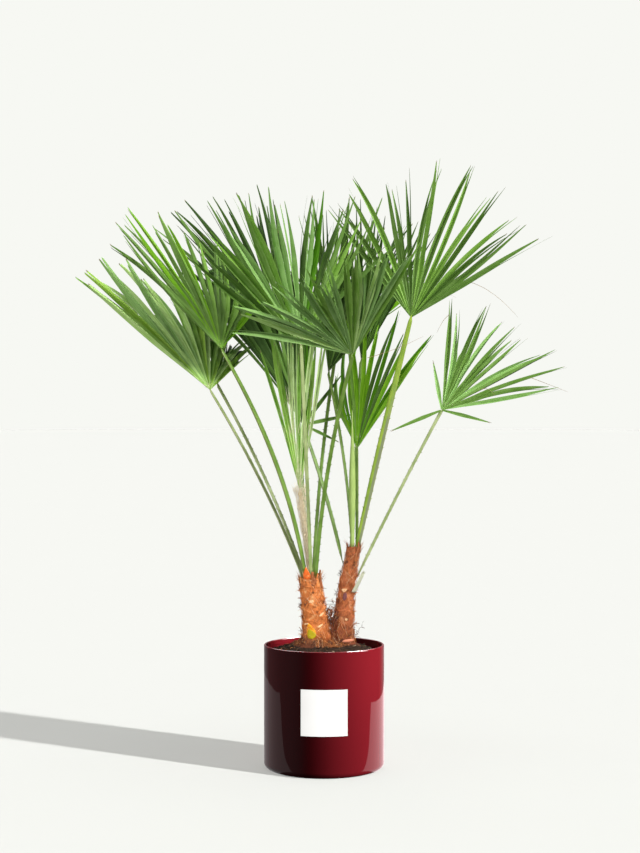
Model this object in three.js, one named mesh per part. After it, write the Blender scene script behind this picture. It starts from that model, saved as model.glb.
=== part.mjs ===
import * as THREE from 'three';

// A potted European fan palm: two short fibrous stems in one glossy pot, fourteen fan
// leaves on thin stalks and one leaf that hasn't opened.
// Millimetres, +Z up. The viewer stands at -Y and +X is to the right.
// The origin is the middle of the pot's flat underside.

// Pot, filled with soil, with a bare label on its front
const potRadius = 120;
const potHeight = 246;
const potWall = 4;
const potFloor = 6;
const potCornerRadius = 12;
const potRimRadius = 1.6;
const potSides = 48;
const soilEdgeDrop = 11;
const soilTop = 246;
const soilFlatRadius = 72;
const labelSize = 90;
const labelBottom = 83.5;
const labelThickness = 0.8;
const labelColumns = 12;

// Touching pieces keep this much air between them
const clearance = 0.3;

// Stems, each from its flat cut on the soil to its flat top
const stemSides = 16;
const stemScaleRows = 7;
const stemScaleDepth = 1.6;
const stemFlareHeight = 14;
const stemDivideX = 15;
const stems = {
  left: {
    foot: [-14, -12],
    bend: [-18, -13],
    top: [-28, -12],
    topHeight: 380,
    footRadius: 28,
    topRadius: 21,
    flare: 6,
    side: -1,
  },
  right: {
    foot: [37, 6],
    bend: [40, 7],
    top: [60, 6],
    topHeight: 440,
    footRadius: 22,
    topRadius: 13,
    flare: 6,
    side: 1,
  },
};

// Stub of a cut stalk on the right stem's side
const stubBearing = -45;
const stubRow = 3;
const stubLength = 44;
const stubLean = 34;
const stubWidth = 12;
const stubThickness = 5;

// Unopened leaf on the right stem
const spearBase = [57, -2];
const spearTip = [56, -27, 716];
const spearWidth = 12;

// Fan leaves
const stalkSegments = 6;
const stalkSides = 6;
const stalkTipHalfWidth = 3.6;
const stalkBaseHalfWidth = 3.8;
const stalkFlatness = 0.6;
const hubRadius = 7;
const splitShare = 0.27;
const thicknessShare = 0.0105;
const leafletWidth = 14;
const leafletStations = [0.52, 0.78];
const leafletStationWidths = [1, 0.72];
const pleatShare = 0.3;
const leafletSpacingShare = 0.42;
const strayBase = 11;
const strayStation = 0.4;

// How unevenly the leaflets stand
const bearingUnevenness = 0.5;
const shortestLeaflet = 0.86;
const longestLeaflet = 1.03;
const sideBend = 0.05;
const lift = 0.07;

// Room that a leaflet needs round it, and the ways it may be turned to get it
const room = 9;
const sampleStep = 6;
const liftTurns = [0, 0.08, -0.08, 0.16, -0.16, 0.24, -0.24];
const lengthCuts = [1, 0.8, 0.62];

// Each leaf: the stem that carries it and where it is seated on it (bearing round the
// stem, in degrees from +X, and the row of scales for one seated on the stem's side), the
// hub where its leaflets meet, how its middle leaflet points (lean to the right of upright
// and lean away from the viewer, in degrees), how far the blade is rolled towards the
// viewer about that line, the angle it spreads over, its length, how many leaflets it has,
// how much shorter its side leaflets are, how much its sides are cupped, how far its side
// leaflets arch outwards and its tips droop, its stalk's width, and how far the stalk bows
// in towards upright. Strays are single leaflets that stand away from the rest: the side
// of the blade they grow from, nearest the hub first, their angle and their length.
const leaves = [
  { name: 'right_upper', stem: 'right', bearing: 320, hub: [173, -20, 897], lean: 12, back: 0, roll: 20,
    spread: 100, length: 322, count: 17, taper: 0.02, cup: 0.1, arch: 0.03, droop: 0.03, stalk: 13, bow: 0.03 },
  { name: 'right_lower', stem: 'right', bearing: 0, row: 4, hub: [238, 30, 714], lean: 45, back: 15, roll: 15,
    spread: 74, length: 268, count: 13, taper: 0, cup: 0.05, arch: 0.05, droop: 0.03, stalk: 6, bow: 0.03,
    strays: [{ side: -1, angle: -158, length: 119 }, { side: -1, angle: -51, length: 112 },
      { side: 1, angle: 63, length: 104 }] },
  { name: 'far_left', stem: 'left', bearing: 190, hub: [-225, -40, 753], lean: -28.5, back: 28, roll: -64,
    spread: 110, length: 358, count: 18, taper: 0.03, cup: 0.1, arch: 0.03, droop: 0.06, stalk: 9, bow: 0.12 },
  { name: 'left_upper', stem: 'left', bearing: 235, hub: [-199, -110, 831], lean: -22, back: 22, roll: -62,
    spread: 110, length: 338, count: 18, taper: 0.1, cup: 0.15, arch: 0.03, droop: 0.03, stalk: 13, bow: 0.3 },
  { name: 'front', stem: 'left', bearing: 325, hub: [54, -170, 816], lean: -22, back: -58, roll: 0,
    spread: 74, length: 325, count: 16, taper: 0, cup: 0.05, arch: 0.03, droop: 0.02, stalk: 8, bow: 0.3 },
  { name: 'centre', stem: 'left', bearing: 280, hub: [-45, -60, 839], lean: -8, back: -12, roll: -30,
    spread: 100, length: 325, count: 18, taper: 0.05, cup: 0.25, arch: 0.03, droop: 0.02, stalk: 8, bow: 0.05 },
  { name: 'inner_right', stem: 'right', bearing: 45, hub: [67, 50, 635], lean: 8, back: 10, roll: 45,
    spread: 76, length: 300, count: 14, taper: 0.15, cup: 0.05, arch: 0.03, droop: 0.02, stalk: 8, bow: 0.05 },
  { name: 'young', stem: 'left', bearing: 0, hub: [-48, 0, 550], lean: -2, back: 0, roll: 0,
    spread: 26, length: 350, count: 10, taper: 0.05, cup: 0, arch: 0.02, droop: 0, stalk: 10, bow: 0.05 },
  { name: 'back_left', stem: 'right', bearing: 180, row: 5, hub: [-43, 60, 684], lean: -16, back: 12,
    roll: -40, spread: 42, length: 440, count: 16, taper: 0, cup: 0, arch: 0.3, droop: 0.03, stalk: 9, bow: 0.13,
    strays: [{ side: 1, angle: 119, length: 95 }, { side: 1, angle: 85, length: 148 },
      { side: 1, angle: 54, length: 184 }] },
  { name: 'rear_left', stem: 'left', bearing: 100, hub: [-70, 150, 836], lean: -27, back: 20, roll: -36,
    spread: 46, length: 460, count: 12, taper: 0, cup: 0, arch: 0.03, droop: 0.03, stalk: 8, bow: 0.15 },
  { name: 'rear_centre', stem: 'right', bearing: 110, hub: [9, 130, 794], lean: 16, back: 8, roll: -40,
    spread: 62, length: 390, count: 16, taper: 0.05, cup: 0.1, arch: 0.03, droop: 0.03, stalk: 8, bow: 0.3 },
  { name: 'rear_right', stem: 'right', bearing: 90, row: 5, hub: [77, 110, 817], lean: 12, back: 12, roll: 0,
    spread: 36, length: 365, count: 8, taper: 0.1, cup: 0, arch: 0.05, droop: 0.03, stalk: 7, bow: 0.05 },
  { name: 'rear_high', stem: 'left', bearing: 60, hub: [26, 200, 839], lean: 0, back: 40, roll: 0,
    spread: 95, length: 340, count: 14, taper: 0.1, cup: 0.2, arch: 0.05, droop: 0.08, stalk: 7, bow: 0.28 },
  { name: 'far_left_rear', stem: 'left', bearing: 140, hub: [-219, 80, 768], lean: -12, back: 38, roll: -30,
    spread: 80, length: 300, count: 14, taper: 0.1, cup: 0.2, arch: 0.05, droop: 0.08, stalk: 7, bow: 0.12 },
];

const up = new THREE.Vector3(0, 0, 1);
const palm = new THREE.Group();

const finishes = {
  pot: { color: 0x6e1519, roughness: 0.15, metalness: 0 },
  label: { color: 0xf4f3f0, roughness: 0.6, metalness: 0 },
  soil: { color: 0x3a281d, roughness: 0.95, metalness: 0 },
  stem: { color: 0xa8643a, roughness: 0.9, metalness: 0 },
  stub: { color: 0xb9b29c, roughness: 0.8, metalness: 0 },
  stalk: { color: 0x7f9a4a, roughness: 0.5, metalness: 0 },
  blade: { color: 0x4d7a3c, roughness: 0.55, metalness: 0 },
  youngBlade: { color: 0x9bb873, roughness: 0.55, metalness: 0 },
};

function radians(degrees) {
  return (degrees * Math.PI) / 180;
}

function addPiece(name, geometry, finish) {
  const mesh = new THREE.Mesh(geometry, new THREE.MeshStandardMaterial(finish));
  mesh.name = name;
  palm.add(mesh);
}

// A closed body is gathered point by point and face by face
class Body {
  constructor() {
    this.places = [];
    this.corners = [];
  }

  point(place) {
    this.places.push(place.x, place.y, place.z);
    return this.places.length / 3 - 1;
  }

  triangle(a, b, c) {
    this.corners.push(a, b, c);
  }

  quad(a, b, c, d) {
    this.fan([a, b, c, d]);
  }

  // A face round its outline, cut into triangles that all meet at its first corner
  fan(outline) {
    for (let index = 1; index + 1 < outline.length; index += 1) {
      this.triangle(outline[0], outline[index], outline[index + 1]);
    }
  }

  geometry() {
    const geometry = new THREE.BufferGeometry();
    geometry.setAttribute('position', new THREE.Float32BufferAttribute(this.places, 3));
    geometry.setIndex(this.corners);
    geometry.computeVertexNormals();
    return geometry;
  }
}

// Rings of equal count, each counterclockwise about the way they go, closed by two ends
function loft(rings, startPlace, endPlace) {
  const body = new Body();
  const rows = rings.map((ring) => ring.map((place) => body.point(place)));
  const start = body.point(startPlace);
  const end = body.point(endPlace);
  const count = rows[0].length;
  const last = rows[rows.length - 1];
  for (let side = 0; side < count; side += 1) {
    const next = (side + 1) % count;
    body.triangle(start, rows[0][next], rows[0][side]);
    body.triangle(end, last[side], last[next]);
    for (let row = 0; row + 1 < rows.length; row += 1) {
      body.quad(rows[row][side], rows[row][next], rows[row + 1][next], rows[row + 1][side]);
    }
  }
  return body.geometry();
}

function middle(ring) {
  const sum = new THREE.Vector3();
  ring.forEach((place) => sum.add(place));
  return sum.divideScalar(ring.length);
}

function roundCorner(centreX, centreY, radius, startAngle, endAngle, steps) {
  const points = [];
  for (let step = 0; step <= steps; step += 1) {
    const angle = startAngle + ((endAngle - startAngle) * step) / steps;
    points.push(new THREE.Vector2(centreX + radius * Math.cos(angle), centreY + radius * Math.sin(angle)));
  }
  return points;
}

// A lathe turns about +Y, so its pieces are stood up to turn about +Z
function turned(profile) {
  const geometry = new THREE.LatheGeometry(profile, potSides);
  geometry.rotateX(Math.PI / 2);
  return geometry;
}

function addPot() {
  const inside = potRadius - potWall;
  const rimInside = inside + potRimRadius;
  const rimOutside = potRadius - potRimRadius;
  const profile = [
    new THREE.Vector2(0, 0),
    ...roundCorner(potRadius - potCornerRadius, potCornerRadius, potCornerRadius, -Math.PI / 2, 0, 5),
    ...roundCorner(rimOutside, potHeight - potRimRadius, potRimRadius, 0, Math.PI / 2, 2),
    ...roundCorner(rimInside, potHeight - potRimRadius, potRimRadius, Math.PI / 2, Math.PI, 2),
    new THREE.Vector2(inside, potFloor),
    new THREE.Vector2(0, potFloor),
  ];
  addPiece('pot', turned(profile), finishes.pot);
}

function addSoil() {
  const radius = potRadius - potWall - clearance;
  const profile = [
    new THREE.Vector2(0, potFloor + clearance),
    new THREE.Vector2(radius, potFloor + clearance),
    new THREE.Vector2(radius, soilTop - soilEdgeDrop),
    new THREE.Vector2(soilFlatRadius, soilTop),
    new THREE.Vector2(0, soilTop),
  ];
  addPiece('soil', turned(profile), finishes.soil);
}

// The label is a thin plate bent round the pot's front
function addLabel() {
  const inner = potRadius + clearance;
  const outer = inner + labelThickness;
  const halfAngle = Math.asin(labelSize / 2 / potRadius);
  const rings = [];
  for (let column = 0; column <= labelColumns; column += 1) {
    const angle = -Math.PI / 2 - halfAngle + (2 * halfAngle * column) / labelColumns;
    const outward = new THREE.Vector3(Math.cos(angle), Math.sin(angle), 0);
    const low = up.clone().multiplyScalar(labelBottom);
    const high = up.clone().multiplyScalar(labelBottom + labelSize);
    rings.push([
      outward.clone().multiplyScalar(inner).add(low),
      outward.clone().multiplyScalar(inner).add(high),
      outward.clone().multiplyScalar(outer).add(high),
      outward.clone().multiplyScalar(outer).add(low),
    ]);
  }
  addPiece('blank_label', loft(rings, middle(rings[0]), middle(rings[labelColumns])), finishes.label);
}

const stemFoot = soilTop + clearance;

function stemCentre(stem, height) {
  const share = (height - stemFoot) / (stem.topHeight - stemFoot);
  const blend = (index) => (1 - share) ** 2 * stem.foot[index]
    + 2 * share * (1 - share) * stem.bend[index] + share ** 2 * stem.top[index];
  return new THREE.Vector3(blend(0), blend(1), height);
}

// Radius without the scales of old leaf bases: an even taper and a flare at the foot
function stemRadius(stem, height) {
  const share = (height - stemFoot) / (stem.topHeight - stemFoot);
  const flare = stem.flare * Math.exp(-(height - stemFoot) / stemFlareHeight);
  return stem.footRadius + (stem.topRadius - stem.footRadius) * share ** 1.3 + flare;
}

// The two flares press against each other along an upright plane between them
function heldApart(place, stem) {
  const limit = stemDivideX + (stem.side * clearance) / 2;
  place.x = stem.side < 0 ? Math.min(place.x, limit) : Math.max(place.x, limit);
  return place;
}

function stemRing(stem, height, scaleShare) {
  const centre = stemCentre(stem, height);
  const ring = [];
  for (let side = 0; side < stemSides; side += 1) {
    const angle = (2 * Math.PI * side) / stemSides;
    const stagger = side % 2 === 0 ? scaleShare : 1 - scaleShare;
    const radius = stemRadius(stem, height) - stemScaleDepth * (1 - stagger);
    const reach = new THREE.Vector3(Math.cos(angle), Math.sin(angle), 0).multiplyScalar(radius);
    ring.push(heldApart(centre.clone().add(reach), stem));
  }
  return ring;
}

// Height of the widest ring of one row of scales
function scaleHeight(stem, row) {
  return stemFoot + ((stem.topHeight - stemFoot) / stemScaleRows) * (row + 0.8);
}

function addStem(name, stem) {
  const rise = (stem.topHeight - stemFoot) / stemScaleRows;
  const rings = [stemRing(stem, stemFoot, 0.5)];
  for (let row = 0; row < stemScaleRows; row += 1) {
    rings.push(stemRing(stem, scaleHeight(stem, row) - rise / 2, 0));
    rings.push(stemRing(stem, scaleHeight(stem, row), 1));
  }
  rings.push(stemRing(stem, stem.topHeight, 0.5));
  addPiece(name, loft(rings, stemCentre(stem, stemFoot), stemCentre(stem, stem.topHeight)), finishes.stem);
}

// A ring across the way `along`, its width along `across`
function crossRing(centre, along, across, halfWidth, halfThickness, sides) {
  const over = new THREE.Vector3().crossVectors(along, across);
  const ring = [];
  for (let side = 0; side < sides; side += 1) {
    const angle = (2 * Math.PI * side) / sides;
    ring.push(centre.clone()
      .addScaledVector(across, halfWidth * Math.cos(angle))
      .addScaledVector(over, halfThickness * Math.sin(angle)));
  }
  return ring;
}

function squaredTo(vector, along) {
  return vector.clone().addScaledVector(along, -vector.dot(along)).normalize();
}

function addStub() {
  const stem = stems.right;
  const height = scaleHeight(stem, stubRow);
  const outward = new THREE.Vector3(Math.cos(radians(stubBearing)), Math.sin(radians(stubBearing)), 0);
  const reach = stemRadius(stem, height) + clearance + (stubThickness / 2) * Math.cos(radians(stubLean));
  const start = stemCentre(stem, height).addScaledVector(outward, reach);
  const along = outward.clone().multiplyScalar(Math.sin(radians(stubLean)))
    .addScaledVector(up, Math.cos(radians(stubLean)));
  const end = start.clone().addScaledVector(along, stubLength);
  const across = new THREE.Vector3().crossVectors(up, outward);
  const rings = [
    crossRing(start, along, across, stubWidth / 2, stubThickness / 2, stalkSides),
    crossRing(end, along, across, stubWidth / 2.6, stubThickness / 2.2, stalkSides),
  ];
  addPiece('cut_stalk_stub', loft(rings, start, end), finishes.stub);
}

function addSpear() {
  const base = new THREE.Vector3(spearBase[0], spearBase[1], stems.right.topHeight + clearance);
  const tip = new THREE.Vector3(...spearTip);
  const along = tip.clone().sub(base).normalize();
  const across = squaredTo(new THREE.Vector3(1, 0, 0), along);
  const widths = [0.55, 0.8, 1, 0.9, 0.5];
  const rings = widths.map((share, index) => {
    const centre = base.clone().lerp(tip, index / widths.length);
    const way = index === 0 ? up : along;
    return crossRing(centre, way, across, (spearWidth * share) / 2, (spearWidth * share) / 4, stalkSides);
  });
  addPiece('spear_leaf', loft(rings, middle(rings[0]), tip), finishes.youngBlade);
}

// The same numbers on every run
function seeded(seed) {
  let state = seed;
  return () => {
    state = (state * 1664525 + 1013904223) % 4294967296;
    return state / 4294967296;
  };
}

// The blade's own directions: `ahead` along its middle leaflet, `side` across it and
// `face` out of its upper face
function bladeDirections(leaf) {
  const lean = radians(leaf.lean);
  const back = radians(leaf.back);
  const roll = radians(leaf.roll);
  const level = new THREE.Vector3(Math.cos(lean), 0, -Math.sin(lean));
  const ahead = new THREE.Vector3(
    Math.sin(lean) * Math.cos(back), Math.sin(back), Math.cos(lean) * Math.cos(back));
  const towards = new THREE.Vector3().crossVectors(level, ahead);
  const side = level.multiplyScalar(Math.cos(roll)).addScaledVector(towards, Math.sin(roll));
  const face = new THREE.Vector3().crossVectors(side, ahead);
  return { ahead, side, face };
}

// Directions of one ray of the blade at an angle from its middle
function rayDirections(blade, cup, angle) {
  const along = blade.ahead.clone().multiplyScalar(Math.cos(angle))
    .addScaledVector(blade.side, Math.sin(angle))
    .addScaledVector(blade.face, cup * (1 - Math.cos(angle)))
    .normalize();
  const across = new THREE.Vector3().crossVectors(along, blade.face).normalize();
  const face = new THREE.Vector3().crossVectors(across, along);
  return { along, across, face };
}

// A place on a ray, at a distance from the hub. `sideShare` runs from -1 at the blade's
// left edge to 1 at its right edge.
function rayPlace(leaf, directions, sideShare, distance) {
  const reach = distance / leaf.length;
  return leaf.hubPlace.clone()
    .addScaledVector(directions.along, distance)
    .addScaledVector(directions.across, leaf.arch * leaf.length * sideShare * reach ** 2)
    .addScaledVector(up, -leaf.droop * leaf.length * reach ** 2.5);
}

function growLeaflets(leaf, seed) {
  const random = seeded(seed);
  const spacing = radians(leaf.spread) / leaf.count;
  const leaflets = [];
  for (let index = 0; index < leaf.count; index += 1) {
    const uneven = (random() - 0.5) * bearingUnevenness;
    const angle = (index + 0.5 + uneven - leaf.count / 2) * spacing;
    const sideShare = (2 * index + 1) / leaf.count - 1;
    leaflets.push({
      angle,
      sideShare,
      length: leaf.length * (1 - leaf.taper * sideShare ** 2)
        * (shortestLeaflet + (longestLeaflet - shortestLeaflet) * random()),
      bend: (random() * 2 - 1) * sideBend,
      lift: (random() * 2 - 1) * lift,
      ...rayDirections(leaf.blade, leaf.cup, angle),
    });
  }
  return leaflets;
}

// A leaflet's middle line: straight in the joined blade, then bent and lifted
function leafletPlace(leaf, leaflet, distance) {
  const split = leaf.length * splitShare;
  const free = Math.max(0, (distance - split) / (leaflet.length - split));
  return rayPlace(leaf, leaflet, leaflet.sideShare, distance)
    .addScaledVector(leaflet.across, leaflet.bend * leaflet.length * free ** 2)
    .addScaledVector(leaflet.face, leaflet.lift * leaflet.length * free ** 2);
}

function leafletHalfWidth(leaf, leaflet, distance) {
  const spacing = (radians(leaf.spread) / leaf.count) * distance;
  const taper = 1 - (distance / leaflet.length) ** 3;
  return Math.min(leafletWidth / 2, spacing * leafletSpacingShare) * taper;
}

// Places that are taken, kept in cubes as wide as the room that a leaflet needs
const taken = new Map();

function cubeName(x, y, z) {
  return `${x} ${y} ${z}`;
}

function take(place, owner) {
  const name = cubeName(Math.floor(place.x / room), Math.floor(place.y / room), Math.floor(place.z / room));
  if (!taken.has(name)) taken.set(name, []);
  taken.get(name).push({ place, owner });
}

function isFree(place, owner) {
  const x = Math.floor(place.x / room);
  const y = Math.floor(place.y / room);
  const z = Math.floor(place.z / room);
  for (let dx = -1; dx <= 1; dx += 1) {
    for (let dy = -1; dy <= 1; dy += 1) {
      for (let dz = -1; dz <= 1; dz += 1) {
        const near = taken.get(cubeName(x + dx, y + dy, z + dz)) ?? [];
        if (near.some((other) => other.owner !== owner && other.place.distanceTo(place) < room)) return false;
      }
    }
  }
  return true;
}

function leafletSamples(leaf, leaflet, from) {
  const samples = [];
  for (let distance = from; distance <= leaflet.length; distance += sampleStep) {
    const half = leafletHalfWidth(leaf, leaflet, distance);
    const centre = leafletPlace(leaf, leaflet, distance);
    samples.push(centre);
    samples.push(centre.clone().addScaledVector(leaflet.across, half));
    samples.push(centre.clone().addScaledVector(leaflet.across, -half));
  }
  return samples;
}

// A leaflet that touches another leaf is turned aside, or else shortened, or else left out
function fitLeaflet(leaf, leaflet) {
  const split = leaf.length * splitShare;
  const wanted = { length: leaflet.length, lift: leaflet.lift };
  for (const cut of lengthCuts) {
    for (const turn of liftTurns) {
      leaflet.length = wanted.length * cut;
      leaflet.lift = wanted.lift + turn;
      if (leafletSamples(leaf, leaflet, split).every((place) => isFree(place, leaf.name))) return;
    }
  }
  leaflet.length = wanted.length;
  leaflet.lift = wanted.lift;
  leaflet.left = true;
}

function seat(leaf) {
  const stem = stems[leaf.stem];
  const bearing = radians(leaf.bearing);
  const outward = new THREE.Vector3(Math.cos(bearing), Math.sin(bearing), 0);
  if (leaf.row) {
    const sideHeight = scaleHeight(stem, leaf.row);
    const reach = stemRadius(stem, sideHeight) + clearance * 2;
    return { place: stemCentre(stem, sideHeight).addScaledVector(outward, reach), way: outward };
  }
  const ring = leaf.name === 'young' ? 0 : stem.topRadius * 0.66;
  const height = stem.topHeight + clearance;
  return { place: stemCentre(stem, height).addScaledVector(outward, ring), way: up };
}

// A stalk rises from its seat in one bow, steep at first, and ends in a point at the hub
function stalkRings(leaf) {
  const { place, way } = seat(leaf);
  const rise = leaf.hubPlace.clone().sub(place);
  const control = place.clone().add(new THREE.Vector3(
    rise.x * (0.5 - leaf.bow), rise.y * (0.5 - leaf.bow), rise.z * 0.5));
  const curve = new THREE.QuadraticBezierCurve3(place, control, leaf.hubPlace);
  const baseHalfWidth = Math.min(leaf.stalk / 2, stalkBaseHalfWidth);
  const rings = [];
  for (let step = 1; step <= stalkSegments; step += 1) {
    const share = step / stalkSegments;
    const along = curve.getTangent(share);
    const across = squaredTo(leaf.blade.side, along);
    const swell = Math.sin(Math.PI * Math.min(1, share * 0.9 + 0.1)) ** 0.5;
    const plain = baseHalfWidth + (stalkTipHalfWidth - baseHalfWidth) * share;
    const halfWidth = plain + (leaf.stalk / 2 - plain) * swell;
    rings.push(crossRing(
      curve.getPoint(share), along, across, halfWidth, halfWidth * stalkFlatness, stalkSides));
  }
  const firstWay = curve.getTangent(1 / stalkSegments);
  const turn = new THREE.Quaternion().setFromUnitVectors(firstWay, way);
  const across = squaredTo(leaf.blade.side, firstWay).applyQuaternion(turn);
  rings.unshift(crossRing(place, way, across, baseHalfWidth, baseHalfWidth * 0.8, stalkSides));
  return rings;
}

function addStalk(leaf) {
  const nearest = leaf.leaflets.reduce((best, other) => (
    Math.abs(other.angle) < Math.abs(best.angle) ? other : best));
  const tip = leaf.hubPlace.clone().addScaledVector(nearest.along, hubRadius - clearance - 0.2);
  addPiece(`stalk_${leaf.name}`, loft(leaf.stalkRings, middle(leaf.stalkRings[0]), tip), finishes.stalk);
}

// One ray of the joined blade: its places from the inner end to the outer one, above and
// below. Strays that grow out of it part it into lengths close to the hub.
function addRay(body, leaf, directions, sideShare, height, strayCount) {
  const [inner, outer] = [hubRadius, leaf.length * splitShare].map((distance) => (
    rayPlace(leaf, directions, sideShare, distance).addScaledVector(directions.face, height * distance)));
  const centres = [];
  for (let step = 0; step <= strayCount; step += 1) {
    centres.push(inner.clone().lerp(outer, (step * strayBase) / inner.distanceTo(outer)));
  }
  centres.push(outer);
  const half = (leaf.length * thicknessShare) / 2;
  return centres.map((centre) => ({
    above: body.point(centre.clone().addScaledVector(directions.face, half)),
    below: body.point(centre.clone().addScaledVector(directions.face, -half)),
  }));
}

// A stray leaflet grows out of the length from `near` to `far` of the blade's side
function addStray(body, leaf, stray, near, far) {
  const centre = rayPlace(leaf, stray, 0, stray.length * strayStation);
  const thickness = (leaf.length * thicknessShare) / 2;
  const corner = (acrossShare, faceShare) => body.point(centre.clone()
    .addScaledVector(stray.across, (acrossShare * leafletWidth) / 2)
    .addScaledVector(stray.face, faceShare * thickness));
  const nearStation = { above: corner(stray.side, 1), below: corner(stray.side, -1) };
  const farStation = { above: corner(-stray.side, 1), below: corner(-stray.side, -1) };
  const around = (low, high) => (stray.side < 0
    ? [low.below, low.above, high.above, high.below]
    : [low.below, high.below, high.above, low.above]);
  const base = around(near, far);
  const station = around(nearStation, farStation);
  const tip = body.point(rayPlace(leaf, stray, 0, stray.length));
  base.forEach((place, index) => {
    const next = (index + 1) % base.length;
    body.quad(place, base[next], station[next], station[index]);
    body.triangle(station[index], station[next], tip);
  });
}

function addSide(body, leaf, ray, side) {
  const strays = leaf.strays.filter((stray) => stray.side === side);
  for (let index = 0; index + 1 < ray.length; index += 1) {
    const near = ray[index];
    const far = ray[index + 1];
    if (index < strays.length) {
      addStray(body, leaf, strays[index], near, far);
    } else if (side < 0) {
      body.quad(near.below, near.above, far.above, far.below);
    } else {
      body.quad(near.below, far.below, far.above, near.above);
    }
  }
}

function addJoinedPart(body, rays) {
  for (let index = 0; index + 1 < rays.length; index += 1) {
    const left = rays[index];
    const right = rays[index + 1];
    const outline = left.length > 2
      ? [...right, ...left.toReversed()]
      : [left[0], ...right, left[1]];
    const [first, ...others] = outline;
    body.fan(outline.map((end) => end.above));
    body.fan([first.below, ...others.toReversed().map((end) => end.below)]);
    body.quad(left[0].below, right[0].below, right[0].above, left[0].above);
  }
}

// The free part of a leaflet: a folded strip with sharp margins and a pointed end
function addFreePart(body, leaf, leaflet, left, rib, right) {
  const stations = leafletStations.map((share, index) => {
    const distance = leaf.length * splitShare
      + (leaflet.length - leaf.length * splitShare) * share;
    const centre = leafletPlace(leaf, leaflet, distance);
    const spacing = (radians(leaf.spread) / leaf.count) * distance;
    const half = Math.min(leafletWidth / 2, spacing * leafletSpacingShare) * leafletStationWidths[index];
    const thickness = (leaf.length * thicknessShare) / 2;
    const ribPlace = centre.clone().addScaledVector(leaflet.face, -half * pleatShare);
    const margin = centre.clone().addScaledVector(leaflet.face, half * pleatShare);
    return {
      left: body.point(margin.clone().addScaledVector(leaflet.across, -half)),
      right: body.point(margin.clone().addScaledVector(leaflet.across, half)),
      above: body.point(ribPlace.clone().addScaledVector(leaflet.face, thickness)),
      below: body.point(ribPlace.clone().addScaledVector(leaflet.face, -thickness)),
    };
  });
  const first = stations[0];
  body.quad(left.above, rib.above, first.above, first.left);
  body.quad(rib.above, right.above, first.right, first.above);
  body.quad(first.left, first.below, rib.below, left.below);
  body.quad(first.below, first.right, right.below, rib.below);
  body.triangle(left.below, left.above, first.left);
  body.triangle(right.above, right.below, first.right);
  for (let index = 0; index + 1 < stations.length; index += 1) {
    const near = stations[index];
    const far = stations[index + 1];
    body.quad(near.left, near.above, far.above, far.left);
    body.quad(near.above, near.right, far.right, far.above);
    body.quad(far.left, far.below, near.below, near.left);
    body.quad(far.below, far.right, near.right, near.below);
  }
  const end = stations[stations.length - 1];
  const tip = body.point(leafletPlace(leaf, leaflet, leaflet.length));
  body.triangle(end.left, end.above, tip);
  body.triangle(end.above, end.right, tip);
  body.triangle(tip, end.below, end.left);
  body.triangle(tip, end.right, end.below);
}

function addBlade(leaf) {
  const body = new Body();
  const spacing = radians(leaf.spread) / leaf.count;
  const fold = pleatShare * spacing * 0.5;
  const rays = [];
  for (let index = 0; index <= leaf.count; index += 1) {
    const before = index > 0 ? leaf.leaflets[index - 1].angle : leaf.leaflets[0].angle - spacing;
    const after = index < leaf.count ? leaf.leaflets[index].angle : before + spacing;
    const edge = rayDirections(leaf.blade, leaf.cup, (before + after) / 2);
    const side = index === 0 ? -1 : Number(index === leaf.count);
    const strayCount = leaf.strays.filter((stray) => stray.side === side).length;
    rays.push(addRay(body, leaf, edge, (2 * index) / leaf.count - 1, fold, strayCount));
    if (index < leaf.count) {
      const leaflet = leaf.leaflets[index];
      rays.push(addRay(body, leaf, leaflet, leaflet.sideShare, -fold, 0));
    }
  }
  addJoinedPart(body, rays);
  addSide(body, leaf, rays[0], -1);
  addSide(body, leaf, rays[rays.length - 1], 1);
  leaf.leaflets.forEach((leaflet, index) => {
    const [left, rib, right] = [0, 1, 2].map((step) => rays[index * 2 + step].at(-1));
    if (leaflet.left) {
      body.quad(left.below, left.above, rib.above, rib.below);
      body.quad(rib.below, rib.above, right.above, right.below);
    } else {
      addFreePart(body, leaf, leaflet, left, rib, right);
    }
  });
  const finish = leaf.name === 'young' ? finishes.youngBlade : finishes.blade;
  addPiece(`fan_${leaf.name}`, body.geometry(), finish);
}

function takeLine(start, end, owner) {
  const steps = Math.ceil(start.distanceTo(end) / sampleStep);
  for (let step = 0; step <= steps; step += 1) {
    take(start.clone().lerp(end, step / steps), owner);
  }
}

function growLeaves() {
  leaves.forEach((leaf, index) => {
    leaf.hubPlace = new THREE.Vector3(...leaf.hub);
    leaf.blade = bladeDirections(leaf);
    leaf.leaflets = growLeaflets(leaf, index + 1);
    leaf.strays = (leaf.strays ?? []).map((stray) => ({
      ...stray,
      ...rayDirections(leaf.blade, leaf.cup, radians(stray.angle)),
    }));
    leaf.stalkRings = stalkRings(leaf);
    const centres = leaf.stalkRings.map(middle);
    for (let ring = 0; ring + 1 < centres.length; ring += 1) {
      takeLine(centres[ring], centres[ring + 1], leaf.name);
    }
    leaf.leaflets.forEach((leaflet) => {
      const joined = { ...leaflet, length: leaf.length * splitShare };
      leafletSamples(leaf, joined, hubRadius).forEach((place) => take(place, leaf.name));
    });
    leaf.strays.forEach((stray) => {
      takeLine(leaf.hubPlace, rayPlace(leaf, stray, 0, stray.length), leaf.name);
    });
  });
  takeLine(new THREE.Vector3(spearBase[0], spearBase[1], stems.right.topHeight),
    new THREE.Vector3(...spearTip), 'spear');
  leaves.forEach((leaf) => {
    leaf.leaflets.forEach((leaflet) => {
      fitLeaflet(leaf, leaflet);
      if (!leaflet.left) {
        leafletSamples(leaf, leaflet, leaf.length * splitShare).forEach((place) => take(place, leaf.name));
      }
    });
  });
}

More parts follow.
